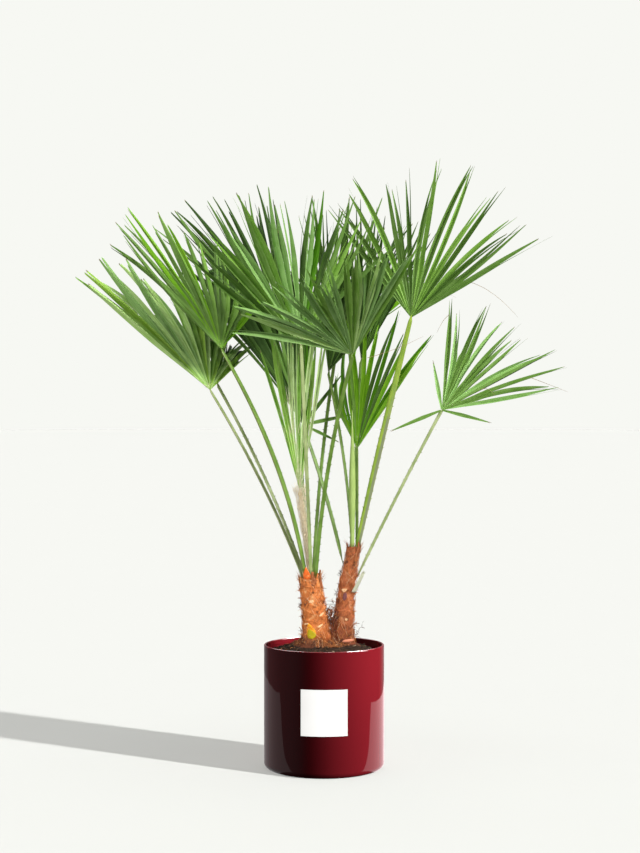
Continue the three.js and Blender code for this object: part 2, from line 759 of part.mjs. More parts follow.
addPot();
addSoil();
addLabel();
addStem('stem_left', stems.left);
addStem('stem_right', stems.right);
addStub();
addSpear();
growLeaves();
leaves.forEach(addStalk);
leaves.forEach(addBlade);

export default palm;
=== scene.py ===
# Potted European fan palm: the looks of the pot, the soil, the two fibrous stems and the
# fan leaves. Sizes of the plant are in millimetres, as in the part, and each finished mesh
# is in metres.
import math
import random
from types import SimpleNamespace

import bmesh
import bpy
import numpy as np
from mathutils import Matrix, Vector, noise


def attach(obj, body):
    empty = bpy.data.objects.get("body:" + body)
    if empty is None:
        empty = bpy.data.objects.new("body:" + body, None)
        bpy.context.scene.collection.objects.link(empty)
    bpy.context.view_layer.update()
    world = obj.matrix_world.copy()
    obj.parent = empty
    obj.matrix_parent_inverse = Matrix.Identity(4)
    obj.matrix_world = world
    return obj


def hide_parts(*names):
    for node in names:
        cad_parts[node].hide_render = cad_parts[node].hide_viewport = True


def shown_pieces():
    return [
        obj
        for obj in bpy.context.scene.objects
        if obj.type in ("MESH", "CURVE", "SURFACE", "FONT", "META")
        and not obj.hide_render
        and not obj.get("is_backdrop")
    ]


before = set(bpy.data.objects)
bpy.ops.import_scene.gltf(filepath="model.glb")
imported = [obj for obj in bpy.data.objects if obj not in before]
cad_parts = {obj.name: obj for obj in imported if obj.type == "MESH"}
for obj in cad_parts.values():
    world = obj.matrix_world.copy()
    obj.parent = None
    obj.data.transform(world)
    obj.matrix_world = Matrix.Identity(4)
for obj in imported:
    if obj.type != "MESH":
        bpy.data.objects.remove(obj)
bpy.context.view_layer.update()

MM = 0.001

# Camera, level, as far away as the perspective of the pot's rim says
camera_place = (-0.008, -3.2, 0.681)
camera_lens = 67.5

# Light: a pale backdrop, and dim walls round the object that are brighter on the right
backdrop_colour = (247, 248, 243)
wall_dim = 0.02
wall_bright = 0.07
behind_bright = 0.3
low_left_bright = 0.1
ceiling_bright = 0.1
ground_bright = 0.01

# Far lamps: what each lights, its strength, width, bearing from +X, height and whether it
# casts shadows. The plant has one narrower lamp from the front right, and wide soft ones
# from in front, above and below.
lamps = {
    "floor_lamp": ("floor", 8.2, 2, -32, 14, True),
    "floor_fill": ("floor", 2.3, 40, -90, 89, False),
    "pot_lamp": ("pot", 7.4, 30, -12, 16, True),
    "pot_glint": ("pot", 26, 20, 15, 59, False),
    "pot_rim_light": ("pot", 6.0, 70, 90, 62, True),
    "label_lamp": ("label", 4.6, 20, -72, 20, False),
    "plant_key": ("plant", 4.0, 16, -32, 30, True),
    "plant_front": ("plant", 2.4, 80, -118, 10, True),
    "plant_above": ("plant", 0.9, 170, 0, 89, True),
    "plant_below": ("plant", 0.8, 170, -90, -70, True),
}

# The glint shows only as a mirror image in the lacquer. No light of the lamps in
# only_direct is thrown on from one piece to another.
only_mirrored = ("pot_glint",)
only_direct = ("pot_glint", "pot_lamp", "label_lamp")

# Pot, label and soil, which at the pot's wall lies 8 lower than in the part. The mat is a
# bank of fibre round the stems' feet.
pot_radius = 120
pot_height = 246
pot_wall = 4
pot_floor = 6
pot_corner = 12
pot_rim = 1.9
soil_top = 246
soil_edge_drop = 19
soil_flat_radius = 66
mat_middle = (10.0, -3.0)
mat_half_width = 80
mat_half_depth = 60
mat_tall = 13
mat_reach = 13
label_size = 90
label_bottom = 83.5
label_thickness = 0.8
label_softening = 0.3
clearance = 0.3
soil_radius = pot_radius - pot_wall - clearance

# Stems, as in the part, then their looks: the seeds of the bark's relief, of the strands
# wound round them and of the ragged collar on top, the shares of orange, brown and pale
# strands, and how many flaps and frayed fibres the collar has.
stem_foot = soil_top + clearance
stem_flare_height = 14
stem_divide_x = 15
stem_rows = 7
stems = {
    "left": {"foot": (-14, -12), "bend": (-18, -13), "top": (-28, -12), "top_height": 380,
             "foot_radius": 28, "top_radius": 21, "flare": 6, "side": -1, "bark_seed": 2.0,
             "fibre_seed": 17, "fibre_shares": (6, 3, 1), "collar_seed": 21, "flaps": 17, "frays": 150},
    "right": {"foot": (37, 6), "bend": (40, 7), "top": (60, 6), "top_height": 440,
              "foot_radius": 22, "top_radius": 13, "flare": 6, "side": 1, "bark_seed": 8.0,
              "fibre_seed": 19, "fibre_shares": (4, 5, 0.6), "collar_seed": 22, "flaps": 7, "frays": 60},
}

# Fan leaves
hub_radius = 7
split_share = 0.27
leaflet_width = 14
leaflet_spacing_share = 0.42
bearing_unevenness = 0.5
shortest_leaflet = 0.86
longest_leaflet = 1.03
side_bend = 0.05
lift_spread = 0.07
room = 9
sample_step = 6
lift_turns = (0, 0.08, -0.08, 0.16, -0.16, 0.24, -0.24)
length_cuts = (1, 0.8, 0.62)
stalk_segments = 6
stalk_tip_half_width = 3.6
stalk_base_half_width = 3.8
stalk_flatness = 0.6

# Each leaf's seat, place and shape are those of the part, and so are its strays, which are
# single leaflets apart from the fan, by angle and length. The rest is its looks. The greens
# are dealt out among its leaflets, and vivid is the place of one of a stronger green. joined
# is the share of neighbours that stay webbed together as far out as web says, where their
# lifts differ by less than uneven, and gathered is the share that lean together. wide, point
# and fork are a leaflet's width, how far it is drawn out and how deep it is forked.
plain_leaf = dict(row=0, back=0, roll=0, taper=0, cup=0, arch=0.03, droop=0.03, stalk=8,
                  stalk_finish="stalk_green", joined=0.3, web=(0.3, 0.5), uneven=0.09, gathered=0.4,
                  wide=1.0, point=0.6, fork=(0.08, 0.4), vivid=None, strays=())
leaves = [
    dict(name="right_upper", stem="right", bearing=320, hub=(173, -20, 897), lean=12, roll=20, spread=100,
         length=322, count=17, taper=0.02, cup=0.1, stalk=13, bow=0.03, stalk_finish="stalk_yellow",
         greens="mid fresh mid dark", joined=0.4, gathered=0.75, wide=0.82),
    dict(name="right_lower", stem="right", bearing=0, row=4, hub=(238, 30, 714), lean=45, back=15, roll=15,
         spread=74, length=268, count=13, cup=0.05, arch=0.05, stalk=6, bow=0.03, stalk_finish="stalk_pale",
         greens="mid mid grey mid", joined=0.35, gathered=0.6, wide=0.78, point=0.72,
         strays=((-158, 119), (-51, 112), (63, 104))),
    dict(name="far_left", stem="left", bearing=190, hub=(-225, -40, 753), lean=-28.5, back=28, roll=-64,
         spread=110, length=358, count=18, taper=0.03, cup=0.1, droop=0.06, stalk=9, bow=0.12,
         stalk_finish="stalk_pale", greens="grey lime fresh pale", joined=0.12, wide=1.2, point=0.35,
         fork=(0.12, 0.48)),
    dict(name="left_upper", stem="left", bearing=235, hub=(-199, -110, 831), lean=-22, back=22, roll=-62,
         spread=110, length=338, count=18, taper=0.1, cup=0.15, stalk=13, bow=0.3,
         greens="bright fresh mid mid", joined=0.35, wide=0.86, point=0.5),
    dict(name="front", stem="left", bearing=325, hub=(54, -170, 816), lean=-22, back=-58, spread=74,
         length=325, count=16, cup=0.05, droop=0.02, bow=0.3, greens="grey fresh pale grey grey",
         joined=0.25, wide=1.05, fork=(0.1, 0.45)),
    dict(name="centre", stem="left", bearing=280, hub=(-45, -60, 839), lean=-8, back=-12, roll=-30,
         spread=100, length=325, count=18, taper=0.05, cup=0.25, droop=0.02, bow=0.05,
         stalk_finish="stalk_pale", greens="mid grey dark fresh", joined=0.4, wide=1.25, fork=(0.2, 0.52),
         vivid=12),
    dict(name="inner_right", stem="right", bearing=45, hub=(67, 50, 635), lean=8, back=10, roll=45,
         spread=76, length=300, count=14, taper=0.15, cup=0.05, droop=0.02, bow=0.05,
         greens="bright vivid fresh bright dark", joined=0.15, wide=0.82, point=0.5),
    dict(name="young", stem="left", bearing=0, hub=(-48, 0, 550), lean=-2, spread=26, length=350, count=10,
         taper=0.05, arch=0.02, droop=0, stalk=10, bow=0.05, stalk_finish="stalk_woolly",
         greens="young_pale young_lime young_pale fresh", joined=0.6, wide=1.25, point=0.5, vivid=7),
    # The rear leaves' deep and dark greens are partly painted shade
    dict(name="back_left", stem="right", bearing=180, row=5, hub=(-43, 60, 684), lean=-16, back=12, roll=-40,
         spread=42, length=440, count=16, arch=0.3, stalk=9, bow=0.13, greens="deep dark mid",
         joined=0.95, web=(0.66, 0.9), uneven=0.4, wide=1.3, strays=((119, 95), (85, 148), (54, 184))),
    dict(name="rear_left", stem="left", bearing=100, hub=(-70, 150, 836), lean=-27, back=20, roll=-36,
         spread=46, length=460, count=12, bow=0.15, greens="deep dark mid", wide=1.25, fork=(0.3, 0.6)),
    dict(name="rear_centre", stem="right", bearing=110, hub=(9, 130, 794), lean=16, back=8, roll=-40,
         spread=62, length=390, count=16, taper=0.05, cup=0.1, bow=0.3, greens="dark mid deep",
         joined=0.2, fork=(0.3, 0.6)),
    dict(name="rear_right", stem="right", bearing=90, row=5, hub=(77, 110, 817), lean=12, back=12, spread=36,
         length=365, count=8, taper=0.1, arch=0.05, stalk=7, bow=0.05, greens="dark deep", joined=0.2,
         fork=(0.3, 0.6)),
    dict(name="rear_high", stem="left", bearing=60, hub=(26, 200, 839), lean=0, back=40, spread=95,
         length=340, count=14, taper=0.1, cup=0.2, arch=0.05, droop=0.08, stalk=7, bow=0.28,
         greens="bright fresh mid dark", fork=(0.3, 0.6)),
    dict(name="far_left_rear", stem="left", bearing=140, hub=(-219, 80, 768), lean=-12, back=38, roll=-30,
         spread=80, length=300, count=14, taper=0.1, cup=0.2, arch=0.05, droop=0.08, stalk=7, bow=0.12,
         stalk_finish="stalk_pale", greens="mid dark"),
]

# Stub of a cut stalk and unopened leaf
stub_bearing = -45
stub_row = 3
stub_length = 44
stub_lean = 34
stub_width = 12
stub_thickness = 5
spear_base = (57, -2)
spear_tip = (56, -27, 716)
spear_width = 12

# Flakes and scars on the stems: stem, bearing, height, width, tall, turn, how much the lower
# end is the wider one, and the finish
flakes = (
    ("left", 261, 335, 10, 6, 10, 0.4, "flake_cream"),
    ("left", 303, 309, 13, 3.6, 32, 0.0, "flake_cream"),
    ("left", 291, 287, 13, 3.4, 30, 0.0, "flake_cream"),
    ("left", 228, 290, 11, 3.4, 12, 0.0, "flake_cream"),
    ("left", 246, 278, 18, 29, 14, 0.7, "base_orange"),
    ("left", 250, 271, 16, 19, 24, 0.5, "base_green"),
    ("left", 256, 390, 12, 24, 0, 0.8, "flap_red"),
    ("left", 254, 376, 17, 2.4, -4, 0.0, "flake_cream"),
    ("right", 252, 354, 9, 7, 180, 0.8, "flake_cream"),
    ("right", 262, 342, 8, 16, 0, 0.0, "scar_purple"),
    ("right", 283, 297, 5, 5, 0, 0.5, "flake_cream"),
    ("right", 214, 299, 8, 3, 40, 0.0, "flake_cream"),
)

# Finer looks of the leaves. The young leaf turns green between two heights, in metres.
free_stations = 12
prong_stations = 7
stalk_sides = 12
stalk_stations = 26
dry_tip_share = 0.6
pleat_crease = 22
young_greening = (0.74, 0.92)

# How many hairs, strands and crumbs
blade_hairs = 12
wool_amounts = {"centre": 150, "far_left": 70, "young": 60, "inner_right": 40}
young_stalk_hairs = 900
young_pleat_hairs = 260
crumb_count = 900
bank_fibres = 3000
wound_fibres = 620
stem_tufts = 60
gap_fibres = 420

# Seeds of the other random draws. Each leaf adds its place in the table to the last two.
crumb_seed = 11
bank_seed = 13
stub_seed = 29
wiry_seed = 31
wool_seed = 41
thread_seed = 43
stalk_seed = 100
blade_seed = 200

# Long dry threads that hang in the air: start, control and end
long_threads = (
    ((250, -20, 972), (318, -24, 978), (388, -20, 895)),
    ((417, 30, 780), (450, 30, 768), (494, 28, 750)),
    ((318, 30, 756), (332, 26, 762), (346, 24, 742)),
    ((84, -100, 814), (140, -100, 828), (196, -96, 858)),
    ((252, 20, 905), (240, 10, 900), (226, 8, 868)),
)

# The floor: how far it goes in metres, and its colour, which drifts faintly from one to
# the other
floor_side = 60
floor_front = -20
floor_back = 400
floor_low = (0.6132, 0.6176, 0.5907, 1.0)
floor_high = (0.6152, 0.6196, 0.5927, 1.0)

# Glowing sheets on the floor that only the lacquer mirrors, as a painted reflection of white
# paper, seen from above, in metres
paper_right = ((0.1, -0.105), (0.22, -0.089), (0.61, -0.005), (0.89, 0.08), (0.86, 0.22), (0.78, 0.43),
               (0.66, 0.64), (0.4, 0.96), (0.0, 1.25))
paper_left = ((-0.09, -0.12), (0.0, 1.25), (-0.47, 1.16), (-0.68, 1.01), (-0.87, 0.81), (-1.01, 0.47),
              (-1.05, -0.02), (-0.83, -0.08), (-0.43, -0.117), (-0.15, -0.128))

up = np.array((0.0, 0.0, 1.0))
rightwards = np.array((1.0, 0.0, 0.0))


def unit(vector):
    return vector / math.sqrt(float(vector @ vector))


def smooth_step(low, high, value):
    share = min(1.0, max(0.0, (value - low) / (high - low)))
    return share * share * (3 - 2 * share)


def level_way(angle):
    """The level direction at an angle from +X."""
    return np.array((math.cos(angle), math.sin(angle), 0.0))


def round_steps(count):
    """The angles of an even ring."""
    return [math.tau * step / count for step in range(count)]


def bumps(x, y, z):
    return noise.noise(Vector((x, y, z)))


def bumps_round(angle, radius, level):
    """Bumps round a circle, which meet where it closes."""
    return bumps(math.cos(angle) * radius, math.sin(angle) * radius, level)


def bow(start, control, end, share):
    """A place or a number on the curve from start to end that control pulls aside."""
    return start * (1 - share) ** 2 + control * (2 * share * (1 - share)) + end * share ** 2


def strayed(draw, way, *others):
    """A way or place, moved along each of the others by up to so much either way."""
    for other, reach in others:
        way = way + other * draw.uniform(-reach, reach)
    return way


def ring_middle(ring):
    return sum(ring) / len(ring)


# Shaders


def shade(red, green, blue):
    """A colour as it is seen on a screen, as the shaders take it."""
    linear = [
        part / 255 / 12.92 if part < 10.3 else ((part / 255 + 0.055) / 1.055) ** 2.4
        for part in (red, green, blue)
    ]
    return (*linear, 1.0)


class Value:
    """A number that a shader works out, with the signs of arithmetic."""

    def __init__(self, paint, socket):
        self.paint = paint
        self.socket = socket

    def __add__(self, other):
        return self.paint.maths("ADD", self, other)

    def __sub__(self, other):
        return self.paint.maths("SUBTRACT", self, other)

    def __mul__(self, other):
        return self.paint.maths("MULTIPLY", self, other)

    def __rsub__(self, other):
        return self.paint.maths("SUBTRACT", other, self)

    __radd__ = __add__
    __rmul__ = __mul__

    def size(self):
        return self.paint.maths("ABSOLUTE", self)

    def between(self, low, high):
        """0 below low, 1 above high and a smooth rise from one to the other."""
        settings = {"interpolation_type": "SMOOTHSTEP"}
        return self.paint.node("ShaderNodeMapRange", settings, {0: self, 1: low, 2: high}, "Result")


class Paint:
    """A material, made node by node."""

    def __init__(self, name, world=None):
        self.material = world or bpy.data.materials.new(name)
        self.material.use_nodes = True
        self.tree = self.material.node_tree
        self.tree.nodes.clear()

    def node(self, kind, settings, inputs, output=0):
        node = self.tree.nodes.new(kind)
        for name, value in settings.items():
            if name == "stops":
                self.set_stops(node.color_ramp, value)
            else:
                setattr(node, name, value)
        for name, value in inputs.items():
            if isinstance(value, Value):
                self.tree.links.new(value.socket, node.inputs[name])
            else:
                node.inputs[name].default_value = value
        return Value(self, node.outputs[output])

    def set_stops(self, ramp, stops):
        while len(ramp.elements) < len(stops):
            ramp.elements.new(0.5)
        for element, (position, colour) in zip(ramp.elements, stops):
            element.position = position
            element.color = colour

    def maths(self, operation, *numbers):
        return self.node("ShaderNodeMath", {"operation": operation}, dict(enumerate(numbers)))

    def mix(self, share, first, second):
        """From the first colour to the second."""
        return self.node("ShaderNodeMix", {"data_type": "RGBA"}, {0: share, 6: first, 7: second}, 2)

    def ramp(self, value, *stops):
        return self.node("ShaderNodeValToRGB", {"stops": stops}, {0: value}, "Color")

    def place(self):
        return self.node("ShaderNodeTexCoord", {}, {}, "Object")

    def on_map(self, name):
        return self.node("ShaderNodeUVMap", {"uv_map": name}, {}, "UV")

    def part_of(self, vector, axis):
        return self.node("ShaderNodeSeparateXYZ", {}, {0: vector}, axis)

    def stretched(self, vector, scale, turn=(0.0, 0.0, 0.0)):
        inputs = {"Vector": vector, "Scale": scale, "Rotation": turn}
        return self.node("ShaderNodeMapping", {}, inputs, "Vector")

    def grain(self, vector, scale, detail=3.0, roughness=0.55):
        inputs = {"Vector": vector, "Scale": scale, "Detail": detail, "Roughness": roughness}
        return self.node("ShaderNodeTexNoise", {}, inputs, "Fac")

    def finished(self, colour, roughness, uniform=None, height=None, depth=0.001, strength=0.5):
        """The material with its shader. uniform gives sockets that are the same all over."""
        inputs = {"Base Color": colour, "Roughness": roughness}
        inputs.update(uniform or {})
        if height is not None:
            bump = {"Height": height, "Distance": depth, "Strength": strength}
            inputs["Normal"] = self.node("ShaderNodeBump", {}, bump, "Normal")
        return self.end_with(self.node("ShaderNodeBsdfPrincipled", {}, inputs, "BSDF"))

    def end_with(self, shader):
        is_world = isinstance(self.material, bpy.types.World)
        output = self.tree.nodes.new("ShaderNodeOutputWorld" if is_world else "ShaderNodeOutputMaterial")
        self.tree.links.new(shader.socket, output.inputs["Surface"])
        return self.material


def lacquer():
    """Deep burgundy gloss lacquer over a smooth shell, faintly uneven, with painted shade low down."""
    paint = Paint("burgundy_lacquer")
    place = paint.place()
    cloud = paint.grain(place, 14.0, 2.0)
    # Painted shade: the lacquer is darker towards the foot
    height = paint.part_of(place, "Z").between(0.0, 0.25)
    colour = paint.mix(height * 0.8 + cloud * 0.2, shade(101, 20, 27), shade(120, 25, 33))
    waves = paint.grain(place, 40.0, 2.0)
    roughness = 0.5 + cloud * 0.06
    uniform = {"Coat Weight": 1.0, "Coat Roughness": 0.02, "Coat IOR": 1.5, "Specular IOR Level": 0.0}
    return paint.finished(colour, roughness, uniform, waves, 0.0004, 0.05)


def label_paper():
    """White paper with a satin face and a very fine tooth."""
    paint = Paint("label_paper")
    place = paint.place()
    tooth = paint.grain(place, 900.0, 3.0)
    colour = paint.mix(paint.grain(place, 30.0), shade(226, 225, 222), shade(234, 233, 230))
    return paint.finished(colour, 0.5 + tooth * 0.1, {}, tooth, 0.0001, 0.15)


def potting_mix():
    paint = Paint("potting_mix")
    place = paint.place()
    lumps = paint.grain(place, 220.0, 6.0, 0.65)
    specks = paint.grain(place, 900.0, 3.0).between(0.62, 0.7)
    colour = paint.ramp(lumps, (0.3, shade(20, 13, 9)), (0.55, shade(52, 36, 26)), (0.75, shade(88, 66, 48)))
    colour = paint.mix(specks * 0.5, colour, shade(130, 104, 80))
    return paint.finished(colour, 0.95, {"Specular IOR Level": 0.2}, lumps, 0.002, 0.9)


def crumb(name, dark, light):
    """Bark crumbs and bits of wood in the potting mix."""
    paint = Paint(name)
    place = paint.place()
    colour = paint.mix(paint.grain(place, 500.0, 4.0), shade(*dark), shade(*light))
    rough = paint.grain(place, 1400.0)
    return paint.finished(colour, 0.9, {"Specular IOR Level": 0.2}, rough, 0.0005, 0.6)


def bark(name, dark, middle, light):
    """Worn sheaths: smooth patches, fine crossing strands and dark lines between them."""
    paint = Paint(name)
    dark, middle, light = shade(*dark), shade(*middle), shade(*light)
    place = paint.place()
    along = paint.grain(paint.stretched(place, (700.0, 700.0, 90.0), (0.35, 0.0, 0.0)), 1.0, 3.0)
    across = paint.grain(paint.stretched(place, (600.0, 600.0, 110.0), (-0.5, 0.3, 0.0)), 1.0, 3.0)
    strands = along * 0.55 + across * 0.45
    patches = paint.grain(place, 62.0, 4.0, 0.6)
    body = patches * 0.68 + strands * 0.32
    colour = paint.ramp(body, (0.37, dark), (0.46, middle), (0.54, middle), (0.64, light))
    worn = paint.grain(place, 120.0, 2.0).between(0.6, 0.66)
    colour = paint.mix(worn * 0.45, colour, dark)
    # The bark is darker lower down, fully below about 0.26 m and not at all above 0.33 m
    darker_below = 1.0 - (paint.part_of(place, "Z") + patches * 0.03).between(0.262, 0.33)
    colour = paint.mix(darker_below * 0.68, colour, dark)
    return paint.finished(colour, 0.85, {"Specular IOR Level": 0.25}, strands, 0.001, 0.6)


def fibre(name, dark, light):
    """Loose strands, each a little lighter or darker along its length."""
    paint = Paint(name)
    place = paint.place()
    colour = paint.mix(paint.grain(place, 160.0, 3.0), shade(*dark), shade(*light))
    rough = paint.grain(place, 2500.0, 2.0)
    return paint.finished(colour, 0.75, {"Specular IOR Level": 0.3}, rough, 0.0002, 0.4)


def leaf_green(name, colour, streak, roughness=0.5, green_above=None):
    """A leaf face: a plain green with fine veins along it and faint clouds. green_above is the
    green that the young leaf turns to higher up."""
    paint = Paint(name)
    colour, streak = shade(*colour), shade(*streak)
    on_leaf = paint.on_map("leaf")
    veins = paint.grain(paint.stretched(on_leaf, (1.3, 0.3, 1.0)), 2.4, 3.0, 0.7)
    clouds = paint.grain(paint.place(), 40.0, 3.0)
    lines = paint.grain(paint.stretched(on_leaf, (4.0, 0.5, 1.0)), 2.0, 2.0)
    margin = paint.part_of(on_leaf, "X").size().between(0.72, 1.0)
    body = paint.mix((veins * 0.5 + lines * 0.5 + clouds * 0.3).between(0.46, 0.86), colour, streak)
    body = paint.mix(margin * 0.4, body, streak)
    if green_above:
        height = paint.part_of(paint.place(), "Z") + (veins - 0.5) * 0.2
        body = paint.mix(height.between(*young_greening) * 0.85, body, shade(*green_above))
    return paint.finished(body, veins * 0.1 + (roughness - 0.05), {"Specular IOR Level": 0.12})


def stalk_skin(name, colour, streak, edge, roughness=0.45, painted_shade_side=None):
    """A leaf stalk: smooth, with fine lengthwise fibres and its own tint on the margins.
    Its last colour, if given, is painted shade on one side of its lower part."""
    paint = Paint(name)
    on_stalk = paint.on_map("stalk")
    lines = paint.grain(paint.stretched(on_stalk, (14.0, 1.2, 1.0)), 2.0, 2.0)
    clouds = paint.grain(paint.place(), 30.0, 2.0)
    margin = paint.part_of(on_stalk, "X").size().between(0.7, 0.98)
    body = paint.mix((lines * 0.6 + clouds * 0.6).between(0.4, 0.8), shade(*colour), shade(*streak))
    # Painted shade on one side of the stalk's lower part
    if painted_shade_side:
        low_part = 1.0 - (paint.part_of(paint.place(), "Z") + clouds * 0.1).between(0.72, 0.82)
        painted_shade_half = paint.part_of(on_stalk, "X").between(0.0, 0.3)
        body = paint.mix(painted_shade_half * low_part, body, shade(*painted_shade_side))
    body = paint.mix(margin * 0.6, body, shade(*edge))
    return paint.finished(body, roughness, {"Specular IOR Level": 0.4}, lines, 0.0004, 0.3)


# The greens run from deep to pale. The deep and dark greens of the rear leaves are partly painted shade of
# the crown.
green_shades = {
    "deep": ((38, 64, 18), (66, 94, 42)),
    "dark": ((54, 86, 22), (86, 118, 52)),
    "mid": ((76, 114, 34), (114, 146, 76)),
    "fresh": ((92, 138, 36), (134, 170, 84)),
    "bright": ((84, 142, 8), (132, 180, 44)),
    "lime": ((118, 164, 34), (164, 200, 94)),
    "vivid": ((64, 116, 8), (92, 144, 34)),
    "grey": ((102, 144, 62), (148, 184, 114)),
    "pale": ((138, 180, 82), (186, 214, 142)),
}
greens = {name: leaf_green("green_" + name, *shades) for name, shades in green_shades.items()}
greens["young_pale"] = leaf_green("young_pale", (140, 166, 92), (194, 214, 160), green_above=(88, 124, 46))
greens["young_lime"] = leaf_green("young_lime", (112, 162, 40), (172, 204, 112), green_above=(64, 104, 26))
greens["spear"] = leaf_green("spear_green", (120, 150, 62), (166, 188, 112))
greens["dry"] = leaf_green("dry_tip", (96, 88, 54), (136, 124, 86), 0.7)
# stalk_yellow's last colour is painted shade on one side of its lower part
stalk_shades = {
    "stalk_green": ((76, 110, 30), (116, 148, 62), (110, 108, 58)),
    "stalk_yellow": ((98, 134, 14), (146, 170, 46), (132, 134, 84), 0.45, (112, 122, 84)),
    "stalk_pale": ((108, 128, 64), (156, 168, 116), (136, 134, 92)),
    "stalk_woolly": ((186, 166, 124), (224, 208, 172), (166, 130, 92), 0.8),
}
stalk_skins = {name: stalk_skin(name, *shades) for name, shades in stalk_shades.items()}
bark_skins = {
    "left": bark("bark_orange", (142, 70, 30), (204, 120, 62), (226, 168, 110)),
    "right": bark("bark_brown", (92, 44, 30), (170, 95, 56), (206, 142, 98)),
}
flake_finishes = ("flake_cream", "base_orange", "base_green", "flap_red", "scar_purple")
fibre_shades = {
    "leaf_wool": ((206, 190, 154), (246, 236, 212)),
    "leaf_thread": ((120, 96, 62), (166, 142, 100)),
    "fibre_orange": ((182, 100, 42), (226, 152, 84)),
    "fibre_brown": ((120, 62, 32), (172, 104, 60)),
    "fibre_pale": ((208, 160, 110), (246, 216, 174)),
    "fibre_dark": ((58, 40, 34), (104, 72, 58)),
    "fibre_red": ((116, 54, 36), (166, 92, 62)),
    "pink_bark": ((180, 98, 72), (226, 154, 118)),
    "flake_cream": ((204, 150, 98), (240, 206, 160)),
    "base_orange": ((222, 134, 24), (240, 168, 40)),
    "base_green": ((150, 138, 4), (190, 170, 10)),
    "flap_red": ((206, 78, 18), (240, 122, 40)),
    "scar_purple": ((84, 44, 50), (128, 76, 72)),
    "dry_stub": ((168, 172, 140), (224, 224, 200)),
}
fibres = {name: fibre(name, *shades) for name, shades in fibre_shades.items()}


# Making pieces


def make_piece(name, places, faces, materials, replaced=(), face_slots=None, face_maps=None,
               map_name=None, crease=0):
    """A mesh from places in millimetres. face_maps gives each face corner its place on a map."""
    mesh = bpy.data.meshes.new(name)
    mesh.from_pydata((np.asarray(places) * MM).tolist(), [], faces)
    for material in materials:
        mesh.materials.append(material)
    if face_slots is not None:
        mesh.polygons.foreach_set("material_index", face_slots)
    if face_maps is not None:
        layer = mesh.uv_layers.new(name=map_name)
        layer.data.foreach_set("uv", np.asarray(face_maps, dtype=np.float32).ravel())
    mesh.polygons.foreach_set("use_smooth", [True] * len(mesh.polygons))
    mesh.validate()
    mesh.update()
    if crease:
        mesh.set_sharp_from_angle(angle=math.radians(crease))
    piece = bpy.data.objects.new(name, mesh)
    bpy.context.collection.objects.link(piece)
    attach(piece, "root")
    if replaced:
        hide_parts(*replaced)
    return piece


class Heap:
    """Many small closed shapes, gathered into one mesh."""

    def __init__(self):
        self.places = []
        self.faces = []
        self.slots = []
        self.maps = []

    def tube(self, rings, start, end, slot=0, ring_maps=None):
        """Rings of equal count, closed at both ends by a point."""
        first = len(self.places)
        count = len(rings[0])
        last = first + count * (len(rings) - 1)
        for ring in rings:
            self.places.extend(ring)
        self.places += [start, end]
        start_index, end_index = last + count, last + count + 1
        maps = ring_maps or [[(0.0, 0.0)] * (count + 1)] * len(rings)
        for side in range(count):
            following = (side + 1) % count
            self.face((start_index, first + following, first + side), slot,
                      (maps[0][side], maps[0][side + 1], maps[0][side]))
            self.face((end_index, last + side, last + following), slot,
                      (maps[-1][side], maps[-1][side], maps[-1][side + 1]))
            for row in range(len(rings) - 1):
                near = first + row * count
                far = near + count
                low, high = maps[row], maps[row + 1]
                self.face((near + side, near + following, far + following, far + side), slot,
                          (low[side], low[side + 1], high[side + 1], high[side]))

    def face(self, corners, slot, maps):
        self.faces.append(corners)
        self.slots.append(slot)
        self.maps.extend(maps)

    def piece(self, name, materials, slot, replaced=(), map_name=None, crease=0):
        return make_piece(name, self.places, self.faces, materials, replaced, self.slots,
                          self.maps if map_name else None, map_name, crease)


def cross_ring(centre, across, over, half_width, half_thickness, sides, turn=0.0):
    """A ring round a place, counterclockwise about the way across x over."""
    return [
        centre + across * (half_width * math.cos(angle)) + over * (half_thickness * math.sin(angle))
        for angle in (turn + step for step in round_steps(sides))
    ]


def strand(heap, places, thickness, slot, draw):
    """A thin tapering fibre with three sides along a line of places."""
    rings = []
    turn = draw.random() * 2
    for index, place in enumerate(places[:-1]):
        along = unit(places[index + 1] - place)
        across = unit(np.cross(along, up if abs(along[2]) < 0.9 else rightwards))
        half = thickness / 2 * (1 - 0.7 * index / len(places))
        rings.append(cross_ring(place, across, np.cross(along, across), half, half, 3, turn))
    heap.tube(rings, places[0], places[-1], slot)


def bristle(heap, root, aim, bend, length, thickness, slot, draw):
    """A strand that sets out along aim and bends away."""
    places = [root + aim * (length * step / 4) + bend * (length * (step / 4) ** 2) for step in range(5)]
    strand(heap, places, thickness, slot, draw)


# Growth of the leaves, by the part's rule


def seeded(seed):
    """The part's own row of numbers from 0 to 1, the same on every run."""
    state = seed

    def draw():
        nonlocal state
        state = (state * 1664525 + 1013904223) % 4294967296
        return state / 4294967296

    return draw


def stem_centre(stem, height):
    share = (height - stem_foot) / (stem["top_height"] - stem_foot)
    x, y = (bow(stem["foot"][axis], stem["bend"][axis], stem["top"][axis], share) for axis in (0, 1))
    return np.array((x, y, height))


def stem_radius(stem, height):
    share = max(0.0, (height - stem_foot) / (stem["top_height"] - stem_foot))
    flare = stem["flare"] * math.exp(-(height - stem_foot) / stem_flare_height)
    return stem["foot_radius"] + (stem["top_radius"] - stem["foot_radius"]) * share ** 1.3 + flare


def scale_height(stem, row):
    return stem_foot + (stem["top_height"] - stem_foot) / stem_rows * (row + 0.8)


